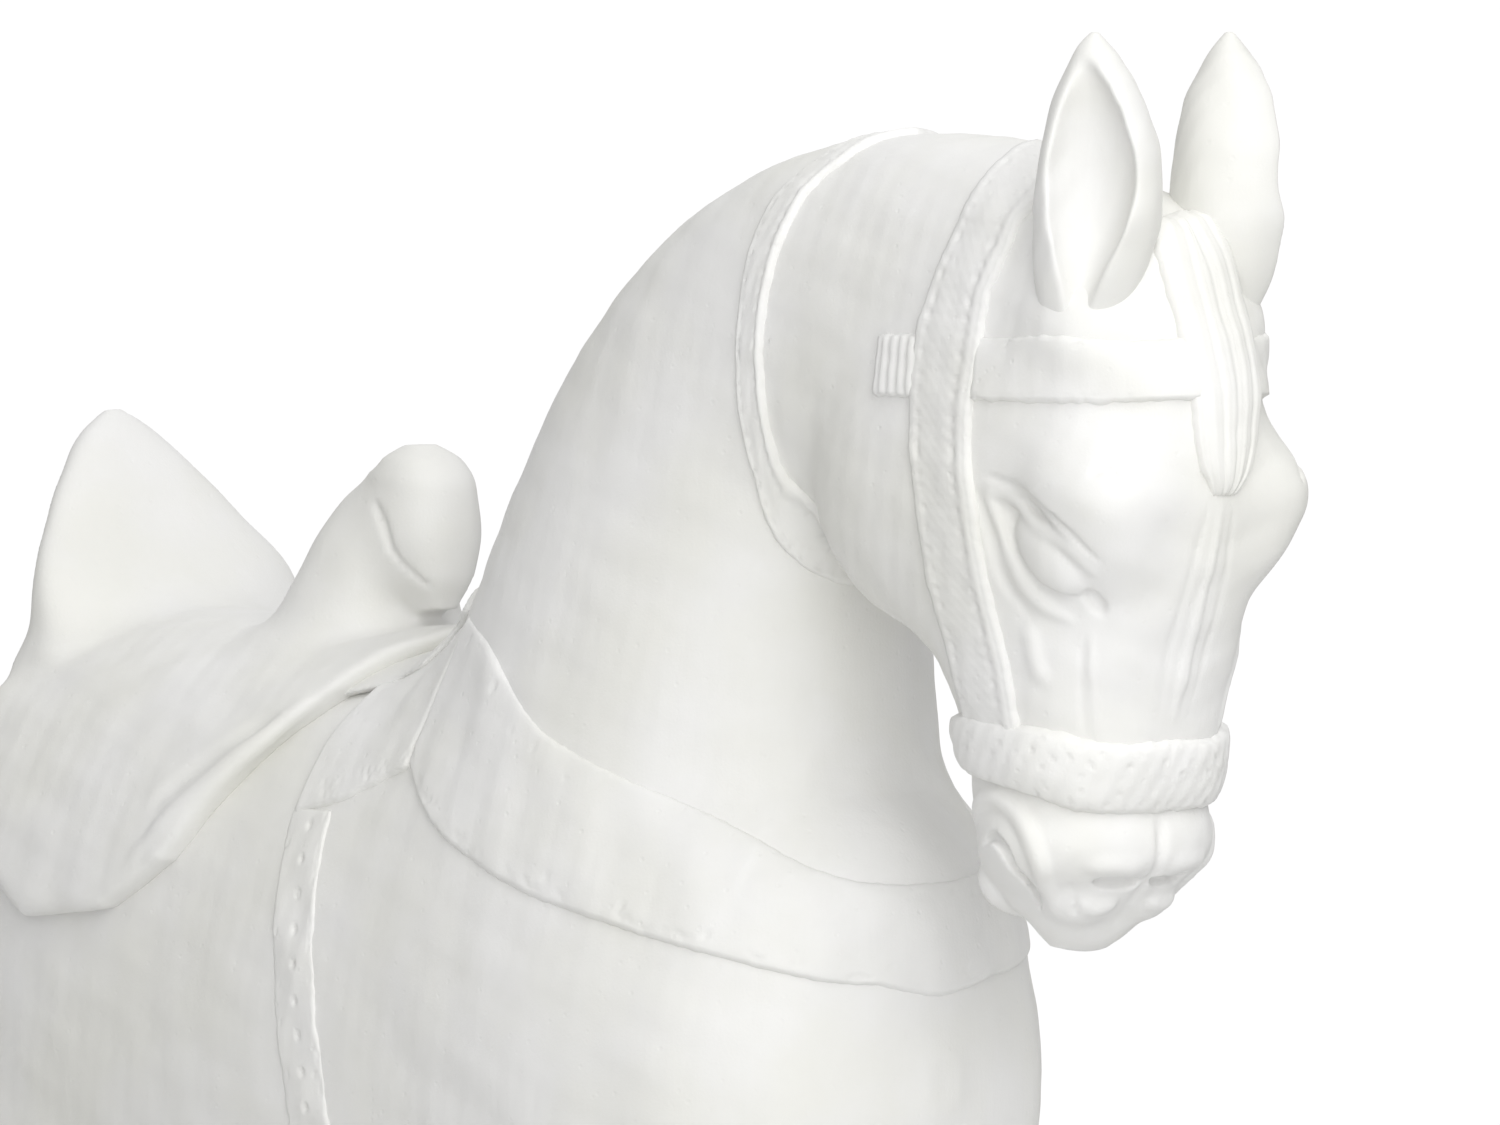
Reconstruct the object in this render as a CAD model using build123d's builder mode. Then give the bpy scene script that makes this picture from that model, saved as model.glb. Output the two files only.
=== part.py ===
"""Giant lawn chess knight: a saddled horse, cast hollow in halves, on a round weighted plinth.

Frame: the horse faces -Y, +X is its left side, +Z is up, and Z = 0 is the underside of the plinth.
Everything is in millimetres.
"""
from build123d import *
from math import cos, sin, pi
import os

# ---------------------------------------------------------------- driving dimensions
WALL = 5.0                 # laminate thickness of the hollow castings
BOND = 0.3                 # glue line between curved pieces
STRIP_W = 24.0             # tape over the seam inside the body
STRIP_T = 3.0
STRIP_LIFT = 2.0           # keeps the flat tape clear of the round belly
STRAP = 3.0                # thickness of the moulded tack straps
LEG_X = 62.0               # sideways place of each leg
LEG_CUT = 372.0            # height of the joint between the body and its lower legs
HEAD_CUT = -228.0          # the head is bonded on at this upright plane
THROAT_Z = 722.0           # below it the head is cut back from the neck's throat
END_WALL = 8.0             # solid thickness left at the chest and the rump
SKULL_HOLLOW_Z = (592.0, 834.0)
POLL_HOLLOW_FRONT = -376.0
SIDES = (-1, 1)            # the horse's right and left
FAR = 1000.0               # longer than the whole piece, for cutting blocks

# Trunk stations along Y: half width, centre height, half height.
BARREL = [
    (-262, 30, 528, 36),
    (-246, 66, 524, 72),
    (-205, 95, 522, 110),
    (-140, 106, 524, 135),
    (-60, 108, 530, 148),
    (40, 112, 526, 146),
    (130, 112, 536, 138),
    (205, 106, 554, 120),
    (262, 86, 560, 92),
    (290, 44, 558, 48),
]
# Neck stations: crest point and throat point as (Y, Z), and half width.
NECK = [
    ((0, 640), (-236, 520), 92),
    ((-26, 690), (-240, 568), 86),
    ((-52, 742), (-228, 630), 76),
    ((-84, 795), (-226, 680), 66),
    ((-136, 844), (-229, 716), 58),
    ((-192, 869), (-230, 722), 54),
    ((HEAD_CUT, 876), (HEAD_CUT, 724), 53),
]
# Poll stations along Y, which carry the neck into the skull: half width, bottom, top.
POLL = [
    (HEAD_CUT, 53, 724, 876),
    (-275, 52, 724, 878),
    (-325, 48, 745, 873),
    (-362, 40, 770, 858),
    (-385, 26, 790, 838),
]
# Skull and muzzle stations by height: front Y, back Y, half width.
SKULL = [
    (846, -392, -300, 40),
    (815, -404, -262, 50),
    (785, -412, -238, 56),
    (755, -414, -231, 60),
    (728, -409, -238, 59),
    (708, -402, -258, 55),
    (686, -394, -287, 50),
    (662, -387, -298, 44),
    (636, -382, -303, 43),
    (612, -387, -306, 45),
    (594, -383, -308, 41),
    (578, -366, -316, 28),
]
# Ear stations by height: distance from the middle, Y, half width, half thickness.
EAR = [
    (806, 38, -370, 17, 16),
    (835, 39, -376, 21, 17),
    (865, 38, -379, 21, 15),
    (892, 35, -381, 13, 10),
    (912, 32, -382, 4, 4),
]
EAR_TURN = 35.0            # degrees that each ear's opening is turned outwards
EAR_SCOOP = 11.0           # how far the hollow of the ear is set forward of the ear
EAR_SCOOP_LIFT = 6.0       # and above its stations
EAR_SCOOP_SIZE = (0.55, 0.6)   # share of the ear's width and thickness
# Leg stations by height: Y, half width, half depth.
PLINTH_TOP = 72.0
FORELEG = [
    (470, -163, 46, 62),
    (420, -167, 42, 55),
    (LEG_CUT, -169, 33, 42),
    (320, -170, 24, 29),
    (270, -170, 20, 23),
    (245, -171, 22, 24),
    (215, -169, 17, 19),
    (165, -169, 15, 17),
    (125, -171, 18, 20),
    (105, -175, 16, 17),
    (92, -179, 20, 22),
    (PLINTH_TOP, -183, 27, 31),
]
HINDLEG = [
    (480, 190, 46, 84),
    (420, 190, 42, 68),
    (LEG_CUT, 184, 33, 48),
    (320, 188, 24, 32),
    (275, 202, 20, 27),
    (245, 202, 17, 21),
    (180, 191, 16, 18),
    (125, 180, 18, 20),
    (105, 175, 16, 17),
    (92, 170, 20, 22),
    (PLINTH_TOP, 165, 27, 31),
]
LEGS = {"foreleg": FORELEG, "hindleg": HINDLEG}
# Tail stations from dock to tip: Y, Z, radius.
TAIL = [
    (278, 628, 13),
    (304, 600, 22),
    (317, 520, 29),
    (314, 420, 28),
    (304, 330, 20),
    (296, 262, 8),
]

# Saddle: pad thickness, leather thickness, and outlines in the side view as (Y, Z).
PAD_T = 4.0
LEATHER_T = 6.0
PAD_OUTLINE = [(-22, 720), (-30, 684), (-14, 652), (0, 638), (214, 652), (222, 720)]
SEAT_OUTLINE = [(14, 720), (2, 680), (22, 650), (36, 634), (188, 634), (206, 720)]
FLAP_OUTLINE = [(36, 633.7), (50, 606), (84, 574), (140, 570), (176, 602), (188, 633.7)]
# Pommel knob stations by height: Y, half width, half depth.
KNOB = [
    (757, 36, 6, 6),
    (751, 36, 14, 13),
    (738, 36, 18, 17),
    (720, 35, 18, 16),
    (704, 32, 15, 13),
    (693, 29, 8, 7),
]
# Pommel post stations from seat to knob: Y, Z, half width, half depth.
POST = [
    (98, 668, 52, 20),
    (80, 698, 36, 15),
    (62, 722, 22, 13),
    (46, 738, 15, 12),
]
CANTLE_Y = 176.0           # foot of the cantle
CANTLE_FOOT = 660.0        # height of the middle of the cantle's oval
CANTLE_TOP = 772.0
CANTLE_W = 62.0            # half width of the cantle's arch
CANTLE_T = 14.0
CANTLE_RAKE = 16.0         # degrees the cantle leans back

# Tack outlines in the side view as (Y, Z).
COLLAR_OUTLINE = [(-300, 546), (-86, 634), (-86, 692), (-300, 590)]
SHOULDER_OUTLINE = [(-85.7, 637), (-32, 624), (-18, 640), (-34, 680), (-85.7, 690)]
NECK_STRAP_LINE = [(-246, 884), (-233, 850), (-226, 806), (-226, 772), (-234, 742), (-252, 712)]
NECK_STRAP_W = 14.0
CHEEK_OUTLINE = [(-312, 862), (-344, 862), (-348, 780), (-354, 671), (-328, 671), (-318, 780)]
TAB_OUTLINE = [(-317.7, 784), (-317.7, 806), (-288, 806), (-288, 784)]
BROW_OUTLINE = [(-346, 783), (-346, 806), (-430, 806), (-430, 783)]
NOSE_OUTLINE = [(-400, 634), (-400, 660), (-290, 671), (-290, 647)]
NOSE_T = 5.0
FORELOCK_W = 17.0          # half width of the forelock
FORELOCK_BACK = -370.0     # it lies on the front of the head only
FORELOCK_LOW = 752.0
FORELOCK_HIGH = 838.0
FORELOCK_T = 7.0
GIRTH_Y = (-28.0, -3.0)
GIRTH_TOP = 623.0
GIRTH_HOLE_R = 1.2
GIRTH_HOLE_Y = (-18.0, -13.0)
GIRTH_HOLE_Z = [590, 575, 560, 545, 530, 515, 500]

# Plinth and what closes and fills it.
PLINTH_R = 280.0
PLINTH_ROUND = 12.0        # rounding of the top edge
FOOT_TOP = 22.0            # the foot flares out below this height
FOOT_EDGE = 10.0
DRUM_R = 262.0
TOP_R = 250.0
RUBBER_T = 4.0
RUBBER_R = 244.0
PLATE_T = 6.0
PLATE_R = 270.0
PLINTH_WALL = 8.0
FLANGE_R = 244.0           # inner radius of the flange that takes the screws
FLANGE_T = 10.0
SAND_TOP = 36.0
SCREW_RING_R = 256.0
SCREW_COUNT = 8
SCREW_START = 22.5         # degrees from +X to the first screw
SCREW_R = 2.5
SCREW_HEAD_R = 5.0
SCREW_L = 14.0

# Steel armature.
ROD_R = 6.0
ROD_HOLE_R = 6.2
ROD_LOW = 50.0
ROD_HIGH = 506.0
FORE_ROD = [(-170, ROD_LOW), (-170, ROD_HIGH)]
HIND_ROD = [(170, ROD_LOW), (170, 84), (206, 250), (188, 420), (188, ROD_HIGH)]
ROD_BEND_R = 60.0
CROSS_Z = 490.0            # underside of the two cross plates
CROSS_T = 4.0
CROSS_L = 156.0
CROSS_W = 34.0
NUT_R = 10.0
NUT_T = 8.0
SPINE = 25.0
POST_R = 12.0
NECK_POST = [(-150, CROSS_Z + CROSS_T + SPINE), (-150, 690), (-196, 790), (-290, 806)]
POST_BEND_R = 50.0
EAR_PIN_R = 3.0
EAR_PIN_Z = (796.0, 846.0)
DOWEL_R = 5.0
DOWEL = ((250, 600), (306, 600))

# Filler neck, screw plug and its washer, on the plinth's back wall.
PLUG_Z = 41.0
FILLER_HOLE_L = 60.0
NECK_R = 20.0
NECK_Y = (240.0, 264.0)
PLUG_R = 11.0
THREAD_CLEARANCE = 0.06
PLUG_SHANK_L = 14.0
WASHER_T = 2.4
WASHER_R = 15.0
PLUG_HEAD_R = 17.0
PLUG_HEAD_T = 8.0
PLUG_SLOT = (24.0, 4.0, 4.0)
GRIP_COUNT = 12
GRIP_R = 2.2

os.makedirs("parts", exist_ok=True)


# ---------------------------------------------------------------- helpers
def finish(builder, name):
    """Label a finished piece and write its STEP file."""
    builder.part.label = name
    export_step(builder.part, f"parts/{name}.step")


def finish_pair(right, name):
    """Write a right-hand piece, and its mirror image as the left-hand one."""
    finish(right, f"{name}_right")
    with BuildPart() as left:
        mirror(right.part, about=Plane.YZ)
    finish(left, f"{name}_left")


def across(y, z):
    """Plane that cuts the horse across its length, at (0, y, z)."""
    return Plane(origin=(0, y, z), x_dir=(1, 0, 0), z_dir=(0, -1, 0))


def evenly(stations, count):
    """The same stations spaced evenly along their first value, on curves that never overshoot."""
    at = [row[0] for row in stations]
    slopes = []
    for column in zip(*stations):
        secants = [(b - a) / (t - s) for a, b, s, t in zip(column, column[1:], at, at[1:])]
        inner = [2 * p * q / (p + q) if p * q > 0 else 0 for p, q in zip(secants, secants[1:])]
        slopes.append([secants[0]] + inner + [secants[-1]])
    rows = []
    for step in range(count):
        key = at[0] + (at[-1] - at[0]) * step / (count - 1)
        low = max(k for k in range(len(at) - 1) if (key - at[k]) * (at[-1] - at[0]) >= 0)
        span = at[low + 1] - at[low]
        t = (key - at[low]) / span
        row = []
        for column, slope in zip(zip(*stations), slopes):
            start = (1 + 2 * t) * (1 - t) ** 2 * column[low] + t * (1 - t) ** 2 * span * slope[low]
            end = t * t * (3 - 2 * t) * column[low + 1] + t * t * (t - 1) * span * slope[low + 1]
            row.append(start + end)
        rows.append(row)
    return rows


def oval(plane, half_x, half_y, power=2.0):
    """Closed oval face on a plane, drawn in four Bezier quarters; a higher power is boxier."""
    handle = (8 * 2 ** (-1 / power) - 4) / 3
    corners = [Vector(half_x, 0), Vector(0, half_y), Vector(-half_x, 0), Vector(0, -half_y)]
    with BuildSketch(plane) as section:
        with BuildLine():
            for start, end in zip(corners, corners[1:] + corners[:1]):
                Bezier(start, start + end * handle, end + start * handle, end)
        make_face()
    return section.sketch


def block(low, high):
    """Cutting block between two corners."""
    size = [b - a for a, b in zip(low, high)]
    middle = [(a + b) / 2 for a, b in zip(low, high)]
    return Pos(*middle) * Box(*size, mode=Mode.PRIVATE)


def side_prism(outline, high_x=FAR):
    """Prism from the far right to high_x whose outline is given in the side view as (Y, Z)."""
    with BuildPart() as prism:
        with BuildSketch(Plane.YZ.offset(-FAR)):
            with BuildLine():
                Polyline(*outline, close=True)
            make_face()
        extrude(amount=high_x + FAR)
    return prism.part


def bent_rod(x, points, radius, bend):
    """Round rod in the plane X = x through (Y, Z) points, with bend as the radius at each corner."""
    route = [(x, y, z) for y, z in points]
    with BuildPart() as rod:
        with BuildLine() as path:
            if len(route) == 2:
                Line(*route)
            else:
                FilletPolyline(*route, radius=bend)
        start = Plane(origin=path.line @ 0, z_dir=path.line % 0)
        with BuildSketch(start):
            Circle(radius)
        sweep()
    return rod.part


# ---------------------------------------------------------------- shapes shared by several pieces
def barrel_solid(grow):
    """Trunk of the horse, with every section made larger by grow."""
    sections = []
    for y, half_width, middle, half_height in evenly(BARREL, 20):
        sections.append(oval(across(y, middle), half_width + grow, half_height + grow, 2.2))
    with BuildPart() as trunk:
        loft(sections)
    return trunk.part


def neck_solid(grow):
    """Neck from the withers up to the head joint."""
    sections = []
    for crest, throat, half_width in NECK:
        top = Vector(0, crest[0], crest[1])
        bottom = Vector(0, throat[0], throat[1])
        normal = Vector(1, 0, 0).cross((top - bottom).normalized())
        plane = Plane(origin=(top + bottom) * 0.5, x_dir=(1, 0, 0), z_dir=normal)
        sections.append(oval(plane, half_width + grow, (top - bottom).length / 2 + grow, 2.1))
    with BuildPart() as neck:
        loft(sections)
    return neck.part


def poll_solid(grow):
    """Top of the head, in line with the neck."""
    sections = []
    for y, half_width, low, high in evenly(POLL, 7):
        plane = across(y, (low + high) / 2)
        sections.append(oval(plane, half_width + grow, (high - low) / 2 + grow, 2.1))
    with BuildPart() as poll:
        loft(sections)
    return poll.part


def skull_solid(grow):
    """Face and muzzle, built of level sections."""
    sections = []
    for z, front, back, half_width in evenly(SKULL, 14):
        plane = Plane(origin=(0, (front + back) / 2, z))
        sections.append(oval(plane, half_width + grow, (back - front) / 2 + grow, 2.5))
    with BuildPart() as skull:
        loft(sections)
    return skull.part


def leg_solid(stations, side):
    """One whole leg; side is -1 for the horse's right and +1 for its left."""
    sections = []
    for z, y, half_width, half_depth in evenly(stations, 22):
        sections.append(oval(Plane(origin=(side * LEG_X, y, z)), half_width, half_depth))
    with BuildPart() as leg:
        loft(sections)
    return leg.part


def body_skin(grow):
    """Trunk and neck as one solid."""
    with BuildPart() as skin:
        add(barrel_solid(grow))
        add(neck_solid(grow))
    return skin.part


def head_skin(grow):
    """Poll and skull as one solid."""
    with BuildPart() as skin:
        add(poll_solid(grow))
        add(skull_solid(grow))
    return skin.part


def rod_solid(leg, side, radius):
    """Rod inside a leg, or its hole when radius is larger."""
    route = FORE_ROD if leg == "foreleg" else HIND_ROD
    return bent_rod(side * LEG_X, route, radius, ROD_BEND_R)


def ear_plane(side, out, y, z):
    """Level plane of an ear, turned so that its Y axis points away from the ear's opening."""
    turn = side * EAR_TURN * pi / 180
    return Plane(origin=(side * out, y, z), x_dir=(cos(turn), sin(turn), 0))


BODY = body_skin(0)
HEAD = head_skin(0)
BODY_BOND = body_skin(BOND)
HEAD_BOND = head_skin(BOND)
HOLLOW_ENDS = block((-FAR, BARREL[0][0] + END_WALL, 0), (FAR, BARREL[-1][0] - END_WALL, FAR))
SKULL_HOLLOW_ENDS = block((-FAR, -FAR, SKULL_HOLLOW_Z[0]), (FAR, FAR, SKULL_HOLLOW_Z[1]))
POLL_HOLLOW_ENDS = block((-FAR, POLL_HOLLOW_FRONT, 0), (FAR, FAR, FAR))


# ---------------------------------------------------------------- castings
def make_body():
    """Trunk and neck with the tops of the legs, hollow, in two halves glued along the middle."""
    right_side = block((-FAR, -FAR, LEG_CUT), (-BOND / 2, FAR, FAR))
    with BuildPart() as hollow:
        add(barrel_solid(-WALL) & HOLLOW_ENDS)
        add(neck_solid(-WALL))
        for leg in LEGS:
            add(rod_solid(leg, -1, ROD_HOLE_R))
        add(bent_rod(0, DOWEL, DOWEL_R, 0))
        add(right_side, mode=Mode.INTERSECT)
    with BuildPart() as half:
        add(BODY)
        for stations in LEGS.values():
            add(leg_solid(stations, -1))
        add(right_side, mode=Mode.INTERSECT)
        add(hollow, mode=Mode.SUBTRACT)
    finish_pair(half, "body")


def make_seam_strip():
    """Laminate tape that joins the body halves inside, along the belly."""
    under = []
    for y, _, middle, half_height in BARREL[2:8]:
        under.append((y, middle - half_height + WALL + STRIP_LIFT))
    over = [(y, z + STRIP_T) for y, z in reversed(under)]
    with BuildPart() as strip:
        with BuildSketch(Plane.YZ):
            with BuildLine():
                Spline(*under)
                Line(under[-1], over[0])
                Spline(*over)
                Line(over[-1], under[0])
            make_face()
        extrude(amount=STRIP_W / 2, both=True)
    finish(strip, "seam_strip")


def make_head():
    """Hollow head casting, open at the back where it is bonded to the neck."""
    with BuildPart() as head:
        add(HEAD)
        add(poll_solid(-WALL) & POLL_HOLLOW_ENDS, mode=Mode.SUBTRACT)
        add(skull_solid(-WALL) & SKULL_HOLLOW_ENDS, mode=Mode.SUBTRACT)
        add(block((-FAR, HEAD_CUT, 0), (FAR, FAR, FAR)), mode=Mode.SUBTRACT)
        for side in SIDES:
            add(ear_pin(side), mode=Mode.SUBTRACT)
        add(body_skin(BOND) & block((-FAR, -FAR, 0), (FAR, FAR, THROAT_Z)), mode=Mode.SUBTRACT)
    finish(head, "head_casting")


def ear_pin(side):
    """Steel pin that holds an ear."""
    _, out, y, _, _ = EAR[0]
    route = [(y, EAR_PIN_Z[0]), (y, EAR_PIN_Z[1])]
    return bent_rod(side * out, route, EAR_PIN_R, 0)


def make_ears():
    """Two upright ears with a hollow in front, each on a steel pin."""
    outer = []
    scoop = []
    for z, out, y, half_width, half_depth in EAR:
        outer.append(oval(ear_plane(-1, out, y, z), half_width, half_depth))
    for z, out, y, half_width, half_depth in EAR[1:-1]:
        plane = ear_plane(-1, out, y, z)
        front = Plane(
            origin=plane.origin - plane.y_dir * EAR_SCOOP + plane.z_dir * EAR_SCOOP_LIFT,
            x_dir=plane.x_dir,
        )
        scoop.append(oval(front, half_width * EAR_SCOOP_SIZE[0], half_depth * EAR_SCOOP_SIZE[1]))
    with BuildPart() as ear:
        loft(outer)
        loft(scoop, mode=Mode.SUBTRACT)
        add(HEAD_BOND, mode=Mode.SUBTRACT)
        add(ear_pin(-1), mode=Mode.SUBTRACT)
    finish_pair(ear, "ear")
    with BuildPart() as pins:
        for side in SIDES:
            add(ear_pin(side))
    finish(pins, "ear_pins")


def make_legs():
    """Solid cast lower legs, each bored for its steel rod."""
    for leg, stations in LEGS.items():
        with BuildPart() as lower:
            add(leg_solid(stations, -1) & block((-FAR, -FAR, 0), (FAR, FAR, LEG_CUT)))
            add(rod_solid(leg, -1, ROD_HOLE_R), mode=Mode.SUBTRACT)
        finish_pair(lower, leg)


def make_tail():
    """Solid tail, held to the rump by a dowel."""
    sections = []
    for index, (y, z, radius) in enumerate(TAIL):
        before = TAIL[max(index - 1, 0)]
        after = TAIL[min(index + 1, len(TAIL) - 1)]
        along = Vector(0, after[0] - before[0], after[1] - before[1]).normalized()
        plane = Plane(origin=(0, y, z), x_dir=(1, 0, 0), z_dir=along)
        sections.append(oval(plane, radius, radius))
    dowel = bent_rod(0, DOWEL, DOWEL_R, 0)
    with BuildPart() as tail:
        loft(sections)
        add(BODY_BOND, mode=Mode.SUBTRACT)
        add(dowel, mode=Mode.SUBTRACT)
    finish(tail, "tail")
    with BuildPart() as pin:
        add(dowel)
    finish(pin, "tail_dowel")


# ---------------------------------------------------------------- saddle and tack
def make_saddle():
    """Pad, seat with pommel and cantle, and two flaps."""
    pad_top = barrel_solid(BOND + PAD_T)
    leather_low = barrel_solid(2 * BOND + PAD_T)
    leather_top = barrel_solid(2 * BOND + PAD_T + LEATHER_T)
    with BuildPart() as pad:
        add(pad_top & side_prism(PAD_OUTLINE))
        add(BODY_BOND, mode=Mode.SUBTRACT)
    finish(pad, "saddle_pad")

    knob = [oval(Plane(origin=(0, y, z)), half_x, half_y) for z, y, half_x, half_y in evenly(KNOB, 9)]
    post = []
    for y, z, half_x, half_y in POST:
        plane = Plane(origin=(0, y, z), x_dir=(1, 0, 0), z_dir=(0, -0.6, 0.8))
        post.append(oval(plane, half_x, half_y, 2.4))
    cantle_plane = Plane(origin=(0, CANTLE_Y, CANTLE_FOOT), x_dir=(1, 0, 0), z_dir=(0, -1, 0))
    with BuildPart() as seat:
        add(leather_top & side_prism(SEAT_OUTLINE))
        loft(knob)
        loft(post)
        with BuildSketch(cantle_plane.rotated((-CANTLE_RAKE, 0, 0))):
            Ellipse(CANTLE_W, CANTLE_TOP - CANTLE_FOOT)
        extrude(amount=CANTLE_T / 2, both=True)
        add(leather_low, mode=Mode.SUBTRACT)
        add(neck_solid(BOND), mode=Mode.SUBTRACT)
    finish(seat, "saddle_seat")

    with BuildPart() as flap:
        add(leather_top & side_prism(FLAP_OUTLINE, 0))
        add(leather_low, mode=Mode.SUBTRACT)
    finish_pair(flap, "saddle_flap")


def make_trunk_tack():
    """Girth, breast collar and the shoulder straps between the collar and the saddle."""
    coat = body_skin(BOND + STRAP)
    with BuildPart() as girth:
        add(coat & block((-FAR, GIRTH_Y[0], 0), (FAR, GIRTH_Y[1], GIRTH_TOP)))
        add(BODY_BOND, mode=Mode.SUBTRACT)
        for z in GIRTH_HOLE_Z:
            for y in GIRTH_HOLE_Y:
                with Locations(Plane(origin=(0, y, z), z_dir=(1, 0, 0))):
                    Cylinder(GIRTH_HOLE_R, FAR, mode=Mode.SUBTRACT)
    finish(girth, "girth")
    with BuildPart() as collar:
        add(coat & side_prism(COLLAR_OUTLINE))
        add(BODY_BOND, mode=Mode.SUBTRACT)
    finish(collar, "breast_collar")
    with BuildPart() as strap:
        add(coat & side_prism(SHOULDER_OUTLINE, 0))
        add(BODY_BOND, mode=Mode.SUBTRACT)
        add(side_prism(PAD_OUTLINE), mode=Mode.SUBTRACT)
        add(block((-FAR, GIRTH_Y[0] - BOND, 0), (FAR, FAR, GIRTH_TOP + BOND)), mode=Mode.SUBTRACT)
    finish_pair(strap, "shoulder_strap")


def make_bridle():
    """Neck strap, cheek straps, browband with its tabs, noseband and forelock."""
    half = NECK_STRAP_W / 2
    outline = [(y - half, z) for y, z in NECK_STRAP_LINE]
    outline += [(y + half, z) for y, z in reversed(NECK_STRAP_LINE)]
    head_coat = head_skin(BOND + STRAP)
    with BuildPart() as neck_strap:
        add(neck_solid(BOND + STRAP))
        add(poll_solid(BOND + STRAP))
        add(side_prism(outline), mode=Mode.INTERSECT)
        add(BODY_BOND, mode=Mode.SUBTRACT)
        add(HEAD_BOND, mode=Mode.SUBTRACT)
    finish(neck_strap, "neck_strap")

    with BuildPart() as cheek:
        add(head_coat & side_prism(CHEEK_OUTLINE, -BOND))
        add(HEAD_BOND, mode=Mode.SUBTRACT)
    finish_pair(cheek, "cheek_strap")
    with BuildPart() as tab:
        add(head_coat & side_prism(TAB_OUTLINE, 0))
        add(HEAD_BOND, mode=Mode.SUBTRACT)
        add(side_prism(CHEEK_OUTLINE), mode=Mode.SUBTRACT)
    finish_pair(tab, "strap_tab")

    lock_block = block((-FORELOCK_W, -FAR, FORELOCK_LOW), (FORELOCK_W, FORELOCK_BACK, FORELOCK_HIGH))
    with BuildPart() as browband:
        add(head_coat & side_prism(BROW_OUTLINE))
        add(HEAD_BOND, mode=Mode.SUBTRACT)
        add(side_prism(CHEEK_OUTLINE), mode=Mode.SUBTRACT)
        add(lock_block, mode=Mode.SUBTRACT)
    finish(browband, "browband")
    with BuildPart() as forelock:
        add(head_skin(BOND + FORELOCK_T) & lock_block)
        add(HEAD_BOND, mode=Mode.SUBTRACT)
    finish(forelock, "forelock")
    with BuildPart() as noseband:
        add(skull_solid(BOND + NOSE_T) & side_prism(NOSE_OUTLINE))
        add(skull_solid(BOND), mode=Mode.SUBTRACT)
    finish(noseband, "noseband")


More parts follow.
